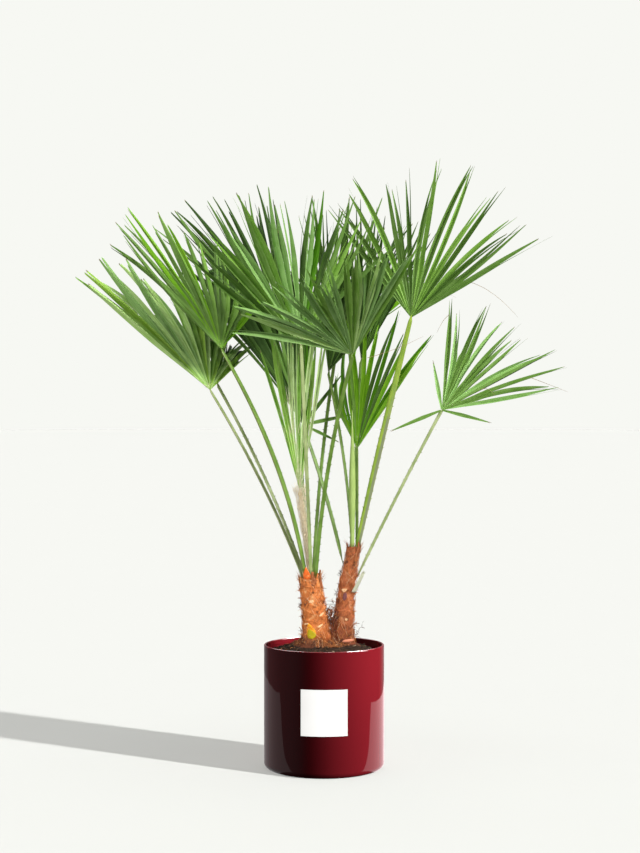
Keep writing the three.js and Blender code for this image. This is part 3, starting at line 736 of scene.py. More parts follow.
def blade_directions(leaf):
    """The blade's own directions: ahead, side and out of its upper face."""
    lean, back, roll = (math.radians(angle) for angle in (leaf.lean, leaf.back, leaf.roll))
    level = np.array((math.cos(lean), 0.0, -math.sin(lean)))
    ahead = np.array((math.sin(lean) * math.cos(back), math.sin(back), math.cos(lean) * math.cos(back)))
    towards = np.cross(level, ahead)
    side = level * math.cos(roll) + towards * math.sin(roll)
    return ahead, side, np.cross(side, ahead)


def ray(leaf, angle):
    """Directions of one ray of the blade at an angle from its middle."""
    ahead, side, face = leaf.directions
    along = unit(ahead * math.cos(angle) + side * math.sin(angle) + face * (leaf.cup * (1 - math.cos(angle))))
    across = unit(np.cross(along, face))
    return SimpleNamespace(along=along, across=across, face=np.cross(across, along))


def ray_place(leaf, way, side_share, distance):
    reach = distance / leaf.length
    place = leaf.hub + way.along * distance
    place = place + way.across * (leaf.arch * leaf.length * side_share * reach ** 2)
    return place - up * (leaf.droop * leaf.length * reach ** 2.5)


def grow_leaflets(leaf, seed):
    draw = seeded(seed)
    spacing = leaf.spacing
    leaflets = []
    for index in range(leaf.count):
        uneven = (draw() - 0.5) * bearing_unevenness
        angle = (index + 0.5 + uneven - leaf.count / 2) * spacing
        side_share = (2 * index + 1) / leaf.count - 1
        leaflet = ray(leaf, angle)
        leaflet.angle = angle
        leaflet.side_share = side_share
        reach = shortest_leaflet + (longest_leaflet - shortest_leaflet) * draw()
        leaflet.length = leaf.length * (1 - leaf.taper * side_share ** 2) * reach
        leaflet.bend = (draw() * 2 - 1) * side_bend
        leaflet.lift = (draw() * 2 - 1) * lift_spread
        leaflet.left = False
        leaflets.append(leaflet)
    return leaflets


def free_share(leaf, leaflet, distance):
    """How far along its free part a leaflet is, from 0 in the joined blade to 1 at its tip."""
    return max(0.0, (distance - leaf.split) / (leaflet.length - leaf.split))


def leaflet_place(leaf, leaflet, distance):
    """A leaflet's middle line: straight in the joined blade, then bent and lifted."""
    place = ray_place(leaf, leaflet, leaflet.side_share, distance)
    bend = leaflet.across * leaflet.bend + leaflet.face * leaflet.lift
    return place + bend * (leaflet.length * free_share(leaf, leaflet, distance) ** 2)


def leaflet_samples(leaf, leaflet, start, end):
    samples = []
    distance = start
    while distance <= end:
        taper = 1 - (distance / end) ** 3
        half = min(leaflet_width / 2, leaf.spacing * distance * leaflet_spacing_share) * taper
        centre = leaflet_place(leaf, leaflet, distance)
        samples += [centre, centre + leaflet.across * half, centre - leaflet.across * half]
        distance += sample_step
    return samples


class Taken:
    """Places that are taken, kept in cubes as wide as the room that a leaflet needs."""

    def __init__(self):
        self.cubes = {}

    def cube(self, place):
        return tuple(math.floor(part / room) for part in place)

    def take(self, place, owner):
        self.cubes.setdefault(self.cube(place), []).append((place, owner))

    def take_line(self, start, end, owner):
        steps = math.ceil(math.dist(start, end) / sample_step)
        for step in range(steps + 1):
            self.take(start + (end - start) * (step / steps), owner)

    def is_free(self, place, owner):
        x, y, z = self.cube(place)
        for dx in (-1, 0, 1):
            for dy in (-1, 0, 1):
                for dz in (-1, 0, 1):
                    for other, other_owner in self.cubes.get((x + dx, y + dy, z + dz), ()):
                        if other_owner != owner and math.dist(other, place) < room:
                            return False
        return True


def fit_leaflet(leaf, leaflet, taken):
    """A leaflet that touches another leaf is turned aside, or else shortened, or else left out."""
    length, lift = leaflet.length, leaflet.lift
    for cut in length_cuts:
        for turn in lift_turns:
            leaflet.length = length * cut
            leaflet.lift = lift + turn
            samples = leaflet_samples(leaf, leaflet, leaf.split, leaflet.length)
            if all(taken.is_free(place, leaf.name) for place in samples):
                return
    leaflet.length = length
    leaflet.lift = lift
    leaflet.left = True


def seat(leaf):
    """Where the stalk stands on its stem, and which way it sets out."""
    stem = stems[leaf.stem]
    outward = level_way(math.radians(leaf.bearing))
    if leaf.row:
        height = scale_height(stem, leaf.row)
        return stem_centre(stem, height) + outward * (stem_radius(stem, height) + clearance * 2), outward
    ring = 0 if leaf.name == "young" else stem["top_radius"] * 0.66
    return stem_centre(stem, stem["top_height"] + clearance) + outward * ring, up


def stalk_line(leaf):
    """The stalk's three governing places: its seat, the bow's control and the hub."""
    place = seat(leaf)[0]
    sideways = 0.5 - leaf.bow
    return place, place + (leaf.hub - place) * np.array((sideways, sideways, 0.5)), leaf.hub


def stalk_place(leaf, share):
    return bow(*leaf.line, share)


def stalk_way(leaf, share):
    start, control, end = leaf.line
    return unit((control - start) * (1 - share) + (end - control) * share)


def stalk_half_width(leaf, share):
    base = min(leaf.stalk / 2, stalk_base_half_width)
    swell = math.sqrt(max(0.0, math.sin(math.pi * min(1.0, share * 0.9 + 0.1))))
    plain = base + (stalk_tip_half_width - base) * share
    return plain + (leaf.stalk / 2 - plain) * swell


def grow_leaves():
    grown = []
    taken = Taken()
    for index, numbers in enumerate(leaves):
        leaf = SimpleNamespace(**{**plain_leaf, **numbers})
        leaf.hub = np.array(leaf.hub, dtype=float)
        leaf.split = leaf.length * split_share
        leaf.spacing = math.radians(leaf.spread) / leaf.count
        leaf.directions = blade_directions(leaf)
        leaf.leaflets = grow_leaflets(leaf, index + 1)
        leaf.line = stalk_line(leaf)
        centres = [stalk_place(leaf, step / stalk_segments) for step in range(stalk_segments + 1)]
        for start, end in zip(centres, centres[1:]):
            taken.take_line(start, end, leaf.name)
        for leaflet in leaf.leaflets:
            for place in leaflet_samples(leaf, leaflet, hub_radius, leaf.split):
                taken.take(place, leaf.name)
        leaf.stray_leaflets = []
        for angle, length in leaf.strays:
            stray = ray(leaf, math.radians(angle))
            stray.length = length
            taken.take_line(leaf.hub, ray_place(leaf, stray, 0, length), leaf.name)
            leaf.stray_leaflets.append(stray)
        grown.append(leaf)
    taken.take_line(np.array((*spear_base, stems["right"]["top_height"])), np.array(spear_tip), "spear")
    for leaf in grown:
        for leaflet in leaf.leaflets:
            fit_leaflet(leaf, leaflet, taken)
            if not leaflet.left:
                for place in leaflet_samples(leaf, leaflet, leaf.split, leaflet.length):
                    taken.take(place, leaf.name)
    return grown


# Leaf blades


def strip_ring(left, rib, right, face, thickness, crown):
    """Eight places round a folded leaflet: left margin, upper face, right margin, lower face."""
    over = face * (thickness / 2)
    swell = face * crown
    left_middle = (left + rib) / 2 + swell
    right_middle = (right + rib) / 2 + swell
    return [
        left, left_middle + over, rib + over, right_middle + over,
        right, right_middle - over, rib - over, left_middle - over,
    ]


strip_map = (-1.0, -0.5, 0.0, 0.5, 1.0, 0.5, 0.0, -0.5, -1.0)
dry_slot = -1


def add_strip(heap, rings, distances, tips, slots, offset):
    """A closed strip through the rings, with a two-pointed end. slots gives one finish a ring."""
    first = len(heap.places)
    for ring in rings:
        heap.places.extend(ring)
    start = len(heap.places)
    heap.places.append(ring_middle(rings[0]))
    heap.places.extend(tips)
    left_tip, right_tip = start + 1, start + 2
    along = [offset + distance / 100 for distance in distances]
    for side in range(8):
        following = (side + 1) % 8
        low, high = strip_map[side], strip_map[side + 1]
        heap.face((start, first + side, first + following), slots[0],
                  ((0.0, along[0]), (low, along[0]), (high, along[0])))
        for row in range(len(rings) - 1):
            near = first + row * 8
            far = near + 8
            heap.face((near + side, far + side, far + following, near + following), slots[row],
                      ((low, along[row]), (low, along[row + 1]), (high, along[row + 1]), (high, along[row])))
    last = first + 8 * (len(rings) - 1)
    end = along[-1] + 0.1
    for lobe, tip in (((0, 1, 2, 6, 7), left_tip), ((2, 3, 4, 5, 6), right_tip)):
        for index, corner in enumerate(lobe):
            following = lobe[(index + 1) % len(lobe)]
            low, high = strip_map[corner], strip_map[following]
            heap.face((last + corner, tip, last + following), slots[-1],
                      ((low, along[-1]), (low, end), (high, along[-1])))


def free_section(leaf, leaflet, distance, manner):
    """A leaflet's left margin, rib and right margin, and the way that its face looks. It is
    nearly parallel where it is free, then drawn out to a point."""
    free = free_share(leaf, leaflet, distance)
    centre = leaflet_place(leaf, leaflet, distance) - up * (manner.curl * free ** 4)
    turn = manner.tilt + manner.twist * free
    across = leaflet.across * math.cos(turn) + leaflet.face * math.sin(turn)
    face = leaflet.face * math.cos(turn) - leaflet.across * math.sin(turn)
    drawn_out = max(0.0, (free - 0.4) / 0.6) ** 1.5
    plain = min(leaflet_width / 2 * leaflet.girth, leaf.spacing * distance * 0.48)
    half = plain * (1 - leaf.point * drawn_out)
    if leaflet.left:
        half *= 1 - 0.8 * (distance / manner.end) ** 3
    lift = face * (half * manner.fold)
    return centre - across * half + lift, centre - lift, centre + across * half + lift, face


def leaflet_strip(heap, leaf, leaflet, index, edges, splits, slots_here, draw):
    """One leaflet from the hub to its fork. Its margins are its neighbours' as far as the splits."""
    leaflet.girth = draw.uniform(0.85, 1.08) * leaf.wide
    manner = SimpleNamespace(curl=draw.uniform(0.0, 1.0) ** 3 * 0.03 * leaflet.length,
                             twist=draw.uniform(-0.5, 0.5), tilt=draw.uniform(-0.45, 0.45),
                             fold=draw.uniform(0.5, 0.8))
    manner.end = leaf.split * 1.12 if leaflet.left else leaflet.length
    fork = 0.0 if leaflet.left else leaflet.length * draw.uniform(*leaf.fork)
    steps = 3 if leaflet.left else free_stations
    distances = [3, 12, leaf.split * 0.35, leaf.split * 0.6, leaf.split * 0.8, leaf.split]
    free_reach = manner.end - fork - leaf.split
    distances += [leaf.split + free_reach * step / steps for step in range(1, steps + 1)]
    rings = []
    for distance in distances:
        left, rib, right, face = free_section(leaf, leaflet, distance, manner)
        half = math.dist(left, right) / 2
        margins = []
        for loose, edge_index in ((left, index), (right, index + 1)):
            edge = edges[edge_index]
            edge_share = (2 * edge_index) / leaf.count - 1
            pleat = min(distance, leaf.length * 0.4) * leaf.spacing * 0.32
            held = ray_place(leaf, edge, edge_share, distance) + edge.face * pleat
            parted = smooth_step(splits[edge_index], splits[edge_index] + 26, distance)
            margins.append(held * (1 - parted) + loose * parted)
        rings.append(strip_ring(margins[0], rib, margins[1], face, 0.5, half * 0.06))
    left, rib, right, face = free_section(leaf, leaflet, distances[-1] + 2, manner)
    slot = draw.choice(slots_here)
    tips = [(left + rib) / 2, (right + rib) / 2]
    add_strip(heap, rings, distances, tips, [slot] * len(rings), index * 7.3)
    if fork:
        add_prongs(heap, leaf, leaflet, distances[-1], manner, slot, index * 7.3, draw)


def tip_slots(slot, rings, draw):
    """A finish for each ring, often with a dry tip."""
    slots = [slot] * len(rings)
    if draw.random() < dry_tip_share:
        slots[-1] = dry_slot
    return slots


def add_prongs(heap, leaf, leaflet, start, manner, slot, offset, draw):
    """The two narrow points that a leaflet is forked into."""
    for way in (-1, 1):
        reach = (leaflet.length - start) * (1.0 if way > 0 else draw.uniform(0.7, 1.0))
        parting = draw.uniform(0.01, 0.05)
        rings = []
        distances = [start - 3 + (reach + 3) * step / prong_stations for step in range(prong_stations + 1)]
        for distance in distances:
            share = (distance - start) / reach
            left, rib, right, face = free_section(leaf, leaflet, distance, manner)
            outer = left if way < 0 else right
            middle = (outer + rib) / 2 + leaflet.across * (way * parting * max(0.0, distance - start))
            arm = (outer - rib) * (way * 0.5 * (1 - 0.6 * max(0.0, share) ** 1.5))
            rings.append(strip_ring(middle - arm, middle, middle + arm, face, 0.4, 0.0))
        tip = middle + leaflet.along * 5
        slots = tip_slots(slot, rings, draw)
        add_strip(heap, rings, distances, [tip - arm * 0.2, tip + arm * 0.2], slots, offset)


def stray_strip(heap, leaf, stray, slots_here, draw):
    """A leaflet that stands apart from the fan, from the hub out."""
    distances = [2 + (stray.length - 2) * step / 12 for step in range(12)]
    rings = []
    for distance in distances:
        centre = ray_place(leaf, stray, 0, distance)
        drawn_out = max(0.0, (distance / stray.length - 0.35) / 0.65) ** 1.6
        half = min(1.8 + distance * 0.06, leaflet_width * 0.3) * (1 - 0.9 * drawn_out)
        across = stray.across * half
        lift = stray.face * (half * 0.35)
        rings.append(strip_ring(centre - across + lift, centre - lift, centre + across + lift,
                                stray.face, 0.5, half * 0.06))
    tip = ray_place(leaf, stray, 0, stray.length)
    slots = tip_slots(draw.choice(slots_here), rings, draw)
    add_strip(heap, rings, distances, [tip - stray.across, tip + stray.across], slots, stray.length)


def leaf_edges(leaf):
    """The rays between the leaflets, and how far out each pair of neighbours is joined."""
    draw = random.Random(leaf.count * 7 + leaf.length)
    edges = []
    for index in range(leaf.count + 1):
        before = leaf.leaflets[index - 1].angle if index else leaf.leaflets[0].angle - leaf.spacing
        after = leaf.leaflets[index].angle if index < leaf.count else before + leaf.spacing
        edges.append(ray(leaf, (before + after) / 2))
    splits = [leaf.split * draw.uniform(0.6, 0.98) for _ in edges]
    for index in range(1, leaf.count):
        near, far = leaf.leaflets[index - 1], leaf.leaflets[index]
        is_even = abs(near.lift - far.lift) < leaf.uneven and not near.left and not far.left
        if is_even and draw.random() < leaf.joined:
            splits[index] = leaf.length * draw.uniform(*leaf.web)
    return edges, splits


def gather_leaflets(leaf, draw):
    """Some neighbours lean together, which opens wider gaps between them and the rest."""
    index = 0
    while index < leaf.count - 1:
        if draw.random() < leaf.gathered:
            near, far = leaf.leaflets[index:index + 2]
            lean = leaf.spacing * draw.uniform(0.25, 0.45)
            near.bend += lean
            far.bend -= lean
            index += 1
        index += 1


def add_blade(leaf, seed):
    draw = random.Random(seed)
    gather_leaflets(leaf, draw)
    names = list(dict.fromkeys(leaf.greens.split() + ["vivid"]))
    slots_here = [names.index(name) for name in leaf.greens.split()]
    edges, splits = leaf_edges(leaf)
    heap = Heap()
    for index, leaflet in enumerate(leaf.leaflets):
        choices = [names.index("vivid")] if index == leaf.vivid else slots_here
        leaflet_strip(heap, leaf, leaflet, index, edges, splits, choices, draw)
    for stray in leaf.stray_leaflets:
        stray_strip(heap, leaf, stray, slots_here, draw)
    heap.slots = [len(names) if slot == dry_slot else slot for slot in heap.slots]
    slot = "young_blade" if leaf.name == "young" else "blade"
    materials = [greens[name] for name in names] + [greens["dry"]]
    heap.piece("blade_" + leaf.name, materials, slot, ["fan_" + leaf.name], "leaf", pleat_crease)


# Leaf stalks


def add_thorn(heap, root, outward, along, length, across):
    """A small forward-pointing thorn on the stalk's margin."""
    tip = root + outward * length + along * (length * 0.6)
    sunk = outward * 0.3
    ring = [root - along * 1.1 - sunk, root + across * 0.5, root + along * 1.3 - sunk, root - across * 0.5]
    heap.tube([ring], root - outward * 0.4, tip)


def stalk_section(leaf, share):
    """A ring of the stalk: rounded below, flat and a little channelled above."""
    centre = stalk_place(leaf, share)
    along = stalk_way(leaf, share)
    if share < 1 / stalk_segments:
        blend = share * stalk_segments
        along = unit(seat(leaf)[1] * (1 - blend) + along * blend)
    side = leaf.directions[1]
    across = unit(side - along * float(side @ along))
    over = np.cross(along, across)
    half = stalk_half_width(leaf, share)
    ring = []
    for angle in round_steps(stalk_sides):
        level, height = math.cos(angle), math.sin(angle)
        height *= stalk_flatness if height > 0 else 0.34 - 0.12 * (1 - abs(level))
        ring.append(centre + across * (half * level) + over * (half * height))
    return ring, across, along


def add_stalk(leaf, seed):
    draw = random.Random(seed)
    heap = Heap()
    ring_maps = []
    rings = []
    for station in range(stalk_stations + 1):
        share = station / stalk_stations * 0.985
        rings.append(stalk_section(leaf, share)[0])
        ring_maps.append([(math.cos(math.tau * side / stalk_sides), seed * 3.1 + share * 4)
                          for side in range(stalk_sides + 1)])
    nearest = min(leaf.leaflets, key=lambda leaflet: abs(leaflet.angle))
    tip = leaf.hub + nearest.along * (hub_radius + 4)
    heap.tube(rings, ring_middle(rings[0]), tip, 0, ring_maps)
    length = math.dist(leaf.line[0], leaf.hub)
    for way in (-1, 1):
        distance = length * 0.08
        while distance < length * 0.78:
            ring, across, along = stalk_section(leaf, distance / length)
            root = ring[0] if way > 0 else ring[stalk_sides // 2]
            add_thorn(heap, root, across * way, along, draw.uniform(1.6, 3.0), np.cross(along, across))
            distance += draw.uniform(14, 26)
    skin = stalk_skins[leaf.stalk_finish]
    heap.piece("petiole_" + leaf.name, [skin], "stalk", ["stalk_" + leaf.name], "stalk")


# Wool and threads on the leaves


def add_wool(grown):
    """Short pale hairs where each blade leaves its stalk."""
    draw = random.Random(wool_seed)
    heap = Heap()
    for leaf in grown:
        side, face = leaf.directions[1:]
        for _ in range(wool_amounts.get(leaf.name, blade_hairs)):
            way = ray(leaf, math.radians(leaf.spread / 2) * draw.uniform(-1, 1))
            start = ray_place(leaf, way, 0, draw.uniform(2, 26)) + face * draw.choice((-1.2, 1.2))
            aim = unit(strayed(draw, way.along, (side, 0.6), (face, 0.7)))
            bend = side * draw.uniform(-1, 1) + up * draw.uniform(-1, 0.3)
            length = draw.uniform(4, 11)
            places = [start + aim * (length * step / 4) + bend * (length * 0.3 * (step / 4) ** 2)
                      for step in range(5)]
            strand(heap, places, 0.35, 0, draw)
        if leaf.name == "young":
            add_young_wool(heap, leaf, draw)
    heap.piece("leaf_wool", [fibres["leaf_wool"]], "young_blade")


def add_young_wool(heap, leaf, draw):
    """The young leaf's stalk is wrapped in long pale wool, and its pleats carry some."""
    ahead, side, face = leaf.directions
    for _ in range(young_stalk_hairs):
        share = draw.uniform(0.12, 1.02)
        start = strayed(draw, stalk_place(leaf, share), (side, 4.0 + 9.0 * share ** 2), (face, 5))
        aim = unit(strayed(draw, ahead, (side, 0.3), (face, 0.3)))
        bend = side * draw.uniform(-0.3, 0.3) + face * draw.uniform(-0.2, 0.2)
        bristle(heap, start, aim, bend, draw.uniform(8, 24), draw.uniform(0.4, 0.9), 0, draw)
    for _ in range(young_pleat_hairs):
        way = ray(leaf, math.radians(leaf.spread / 2) * draw.uniform(-1, 1))
        start = ray_place(leaf, way, 0, draw.uniform(5, 190)) + face * draw.uniform(-4, 2)
        aim = unit(strayed(draw, way.along, (side, 0.12), (face, 0.1)))
        bend = side * draw.uniform(-0.1, 0.1)
        bristle(heap, start, aim, bend, draw.uniform(14, 40), draw.uniform(0.4, 0.8), 0, draw)


def add_threads(grown):
    """Dry threads that hang between the leaflets and from their tips."""
    draw = random.Random(thread_seed)
    heap = Heap()
    for leaf in grown:
        for leaflet in leaf.leaflets:
            if leaflet.left or draw.random() > 0.35:
                continue
            start = leaflet_place(leaf, leaflet, leaf.split * draw.uniform(0.98, 1.1))
            start = start + leaflet.across * (leaf.spacing * leaf.length * split_share * 0.5)
            aim = unit(strayed(draw, leaflet.along, (leaflet.across, 0.6), (leaflet.face, 0.5)))
            length = draw.uniform(10, 34)
            sag = draw.uniform(0.2, 0.9)
            places = [start + aim * (length * step / 6) - up * (length * sag * (step / 6) ** 2)
                      for step in range(7)]
            strand(heap, places, 0.4, 0, draw)
    for line in long_threads:
        line = [np.array(place, dtype=float) for place in line]
        strand(heap, [bow(*line, step / 14) for step in range(15)], 1.3, 0, draw)
    heap.piece("leaf_threads", [fibres["leaf_thread"]], "blade")


# Pot, label and soil


def select_edges(piece, wanted):
    """In edit mode, selects only the edges whose two ends are wanted."""
    body = bmesh.from_edit_mesh(piece.data)
    for part in (*body.verts, *body.faces):
        part.select = False
    for edge in body.edges:
        edge.select = all(wanted(end.co) for end in edge.verts)
    bmesh.update_edit_mesh(piece.data)


def face_outwards():
    """In edit mode, turns every face outwards, then ends edit mode."""
    bpy.ops.mesh.select_all(action="SELECT")
    bpy.ops.mesh.normals_make_consistent(inside=False)
    bpy.ops.object.mode_set(mode="OBJECT")


def smooth_faces(piece):
    """Smooth shading that leaves the wide faces flat beside their rounded edges."""
    bpy.ops.object.shade_smooth_by_angle(angle=math.radians(40))
    even = piece.modifiers.new("even", "WEIGHTED_NORMAL")
    even.keep_sharp = True
    bpy.ops.object.modifier_apply(modifier="even")


def add_pot():
    """A turned shell with a rounded foot and a fine rounded rim."""
    bpy.ops.object.select_all(action="DESELECT")
    bpy.ops.mesh.primitive_cylinder_add(
        vertices=160, radius=pot_radius * MM, depth=pot_height * MM, location=(0, 0, pot_height * MM / 2))
    pot = bpy.context.object
    pot.name = "pot_shell"
    bpy.ops.object.transform_apply(location=True, rotation=True, scale=True)
    bpy.ops.object.mode_set(mode="EDIT")
    bpy.ops.mesh.select_mode(type="FACE")
    bpy.ops.mesh.select_all(action="DESELECT")
    body = bmesh.from_edit_mesh(pot.data)
    for face in body.faces:
        face.select = face.calc_center_median().z > (pot_height - 1) * MM
    bmesh.update_edit_mesh(pot.data)
    bpy.ops.mesh.inset(thickness=pot_wall * MM)
    bpy.ops.mesh.extrude_region_move(
        TRANSFORM_OT_translate={"value": (0, 0, (pot_floor - pot_height) * MM)})
    bpy.ops.mesh.select_mode(type="EDGE")
    select_edges(pot, lambda place: place.z < 0.001)
    bpy.ops.mesh.bevel(offset=pot_corner * MM, segments=8, affect="EDGES")
    select_edges(pot, lambda place: place.z > (pot_height - 1) * MM and place.to_2d().length > 0.1)
    bpy.ops.mesh.bevel(offset=pot_rim * MM, segments=4, affect="EDGES")
    face_outwards()
    smooth_faces(pot)
    pot.data.materials.append(lacquer())
    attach(pot, "root")
    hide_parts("pot")


def add_label():
    """A thin bare plate bent round the pot's front, with softened edges."""
    inner = pot_radius + clearance
    outer = inner + label_thickness
    half_angle = math.asin(label_size / 2 / pot_radius)
    columns = 48
    places = []
    for column in range(columns + 1):
        angle = -math.pi / 2 - half_angle + 2 * half_angle * column / columns
        for radius in (inner, outer):
            for height in (label_bottom, label_bottom + label_size):
                places.append((radius * math.cos(angle), radius * math.sin(angle), height))
    faces = [(0, 2, 3, 1), (4 * columns, 4 * columns + 1, 4 * columns + 3, 4 * columns + 2)]
    for column in range(columns):
        near = 4 * column
        far = near + 4
        for low, high in ((0, 1), (1, 3), (3, 2), (2, 0)):
            faces.append((near + low, near + high, far + high, far + low))
    label = make_piece("label_plate", places, faces, [label_paper()], ["blank_label"])
    bpy.ops.object.select_all(action="DESELECT")
    label.select_set(True)
    bpy.context.view_layer.objects.active = label
    softened = label.modifiers.new("softened", "BEVEL")
    softened.width = label_softening * MM
    softened.segments = 2
    softened.angle_limit = math.radians(50)
    bpy.ops.object.modifier_apply(modifier="softened")
    bpy.ops.object.mode_set(mode="EDIT")
    face_outwards()
    smooth_faces(label)


def soil_height(radius):
    slope = max(0.0, (radius - soil_flat_radius) / (soil_radius - soil_flat_radius))
    return soil_top - soil_edge_drop * slope


def soil_bump(x, y):
    coarse = bumps(x * 0.05, y * 0.05, 1.7)
    fine = noise.fractal(Vector((x * 0.22, y * 0.22, 5.1)), 1.0, 2.0, 4)
    return coarse * 1.6 + fine * 1.3 - 0.6


def add_soil():
    circles, columns = 60, 144
    rings = []
    for circle in range(1, circles + 1):
        radius = soil_radius * circle / circles
        calm = smooth_step(soil_radius, soil_radius - 8, radius) if radius < soil_radius else 0.0
        ring = []
        for angle in round_steps(columns):
            x, y = radius * math.cos(angle), radius * math.sin(angle)
            ring.append(np.array((x, y, soil_height(radius) + soil_bump(x, y) * calm)))
        rings.append(ring)
    bottom = [np.array((place[0], place[1], pot_floor + clearance)) for place in rings[-1]]
    heap = Heap()
    heap.tube([bottom] + rings[::-1], np.array((0, 0, pot_floor + clearance)), np.array((0, 0, soil_top)))
    heap.piece("soil_body", [potting_mix()], "soil", ["soil"])


def add_crumbs():
    """Bits of bark, wood and pale grit that lie on the soil."""
    draw = random.Random(crumb_seed)
    heap = Heap()
    edge = pot_radius - pot_wall - 4
    for _ in range(crumb_count):
        radius = edge * math.sqrt(draw.random())
        angle = draw.uniform(0, math.tau)
        x, y = radius * math.cos(angle), radius * math.sin(angle)
        if from_the_stems(x, y) < 6:
            continue
        size = draw.uniform(0.8, 2.6) if draw.random() < 0.8 else draw.uniform(2.4, 5.0)
        centre = np.array((x, y, soil_height(radius) + soil_bump(x, y) + size * 0.25))
        along = unit(np.array((draw.uniform(-1, 1), draw.uniform(-1, 1), draw.uniform(-0.4, 0.4))))
        across = unit(np.cross(along, up))
        over = np.cross(along, across)
        long = size * draw.uniform(0.8, 1.8)
        rings = []
        for share, width in ((-0.6, 0.75), (0.55, 0.8)):
            girth = size * width
            rings.append(cross_ring(centre + along * (long * share), across, over,
                                    girth * draw.uniform(0.5, 0.7), girth * draw.uniform(0.3, 0.55), 5))
        slot = draw.choices((0, 1, 2), (6, 3, 0.3))[0]
        heap.tube(rings, centre - along * long, centre + along * long, slot)
    kinds = [
        crumb("crumb_dark", (30, 21, 16), (58, 43, 32)),
        crumb("crumb_brown", (58, 42, 30), (92, 70, 50)),
        crumb("crumb_pale", (136, 116, 90), (176, 156, 130)),
    ]
    heap.piece("soil_crumbs", kinds, "soil")


def from_the_stems(x, y):
    """How far a place on the soil is from the nearer stem's foot, less than 0 under it."""
    return min(
        math.dist((x, y), stem["foot"]) - stem["foot_radius"] - stem["flare"]
        for stem in stems.values()
    )


def mat_height(x, y):
    """The mat of fibres is a low bank against the stems."""
    beyond = from_the_stems(x, y)
    if beyond < -1.5:
        return -0.6
    uneven = (1 + 0.5 * bumps(x * 0.09, y * 0.09, 3.3)) * (1 - 0.85 * smooth_step(16, 50, x))
    bank = mat_tall * uneven * max(0.0, 1 - max(0.0, beyond) / mat_reach) ** 1.5
    return bank - 0.6 - 3.4 * smooth_step(mat_reach - 3, mat_reach + 6, beyond)


def add_root_mat():
    """A bank of matted reddish fibre round the feet of both stems."""
    middle = np.array((*mat_middle, soil_top))
    circles, columns = 46, 150
    rings = []
    for circle in range(1, circles + 1):
        ring = []
        for angle in round_steps(columns):
            x = middle[0] + mat_half_width * circle / circles * math.cos(angle)
            y = middle[1] + mat_half_depth * circle / circles * math.sin(angle)
            rough = 0.9 * bumps(x * 0.5, y * 0.5, 9.0) if from_the_stems(x, y) > 0 else 0.0
            ring.append(np.array((x, y, soil_height(math.hypot(x, y)) + mat_height(x, y) + rough)))
        rings.append(ring)
    bottom = [place - up * 3.0 for place in rings[-1]]
    heap = Heap()
    heap.tube([bottom] + rings[::-1], middle - up * 12.0, middle - up * 0.6)
    skin = bark("root_mat_skin", (64, 34, 24), (144, 80, 48), (204, 134, 86))
    heap.piece("root_mat", [skin], "stem_fibre")


def fibre_skins(*names):
    return [fibres["fibre_" + name] for name in names]


def add_soil_fibres():
    """Reddish fibres matted on the bank and on the soil round it, and one piece of pink bark."""
    draw = random.Random(bank_seed)
    heap = Heap()
    for _ in range(bank_fibres):
        angle = draw.uniform(0, math.tau)
        reach = draw.uniform(22, 58) if draw.random() < 0.98 else draw.uniform(50, 90)
        x, y = 4 + reach * 1.15 * math.cos(angle), -3 + reach * 0.9 * math.sin(angle)
        sparse = smooth_step(20, 56, x) > draw.random()
        if math.hypot(x, y) > 104 or from_the_stems(x, y) < 0.5 or sparse:
            continue
        aim = level_way(draw.uniform(0, math.tau))
        across = np.array((-aim[1], aim[0], 0.0))
        length = draw.uniform(6, 20)
        bend = draw.uniform(-0.6, 0.6)
        rise = draw.uniform(0.0, 5.0)
        middle = np.array((x, y, 0.0))
        places = []
        for step in range(6):
            share = step / 5
            place = middle + aim * (length * (share - 0.5)) + across * (length * bend * share ** 2)
            radius = min(math.hypot(place[0], place[1]), 112)
            ground = soil_height(radius) + max(0.0, mat_height(place[0], place[1]))
            place[2] = ground + 0.4 + rise * math.sin(math.pi * share)
            places.append(place)
        strand(heap, places, draw.uniform(0.4, 1.0), draw.choices((0, 1, 2, 3), (4, 6, 0.8, 4))[0], draw)
    lump = np.array((48.0, -28.0, 256.0))
    along = unit(np.array((1.0, 0.15, 0.12)))
    level = unit(np.cross(along, up))
    rings = [cross_ring(lump + along * (12 * share), level, up, 4.5 * width, 3.6 * width, 9)
             for share, width in ((-0.9, 0.6), (-0.4, 1.0), (0.3, 0.9), (0.85, 0.5))]
    heap.tube(rings, lump - along * 12.5, lump + along * 12.5, 4)
    skins = fibre_skins("orange", "brown", "pale", "dark") + [fibres["pink_bark"]]
    heap.piece("soil_fibres", skins, "stem_fibre")


# Stems


def held_apart(place, stem):
    limit = stem_divide_x + stem["side"] * clearance / 2
    place[0] = min(place[0], limit) if stem["side"] < 0 else max(place[0], limit)
    return place


def stem_place(stem, height, angle, proud):
    """A place on the stem's skin, a little proud of it."""
    radius = stem_radius(stem, height) - 0.8 + proud
    return held_apart(stem_centre(stem, height) + level_way(angle) * radius, stem)


def bark_relief(stem, height, angle):
    """Wound leaf sheaths, each proud at its upper edge, lumps and crossing fibres on them."""
    seed = stem["bark_seed"]
    share = (height - stem_foot) / (stem["top_height"] - stem_foot)
    wander = bumps_round(angle, 1.3, height * 0.03 + seed)
    turn = (stem_rows * share + angle / math.pi + wander * 0.6) % 1.0
    sheath = 2.4 * turn ** 3 - 0.9
    lumps = bumps_round(angle, 1.6, height * 0.055 + seed * 5)
    crossing = sum(bumps_round(angle + lean * height, 9, height * 0.07 + seed * 3 + lean)
                   for lean in (0.025, -0.02))
    return sheath + lumps * 1.8 + crossing * 0.5


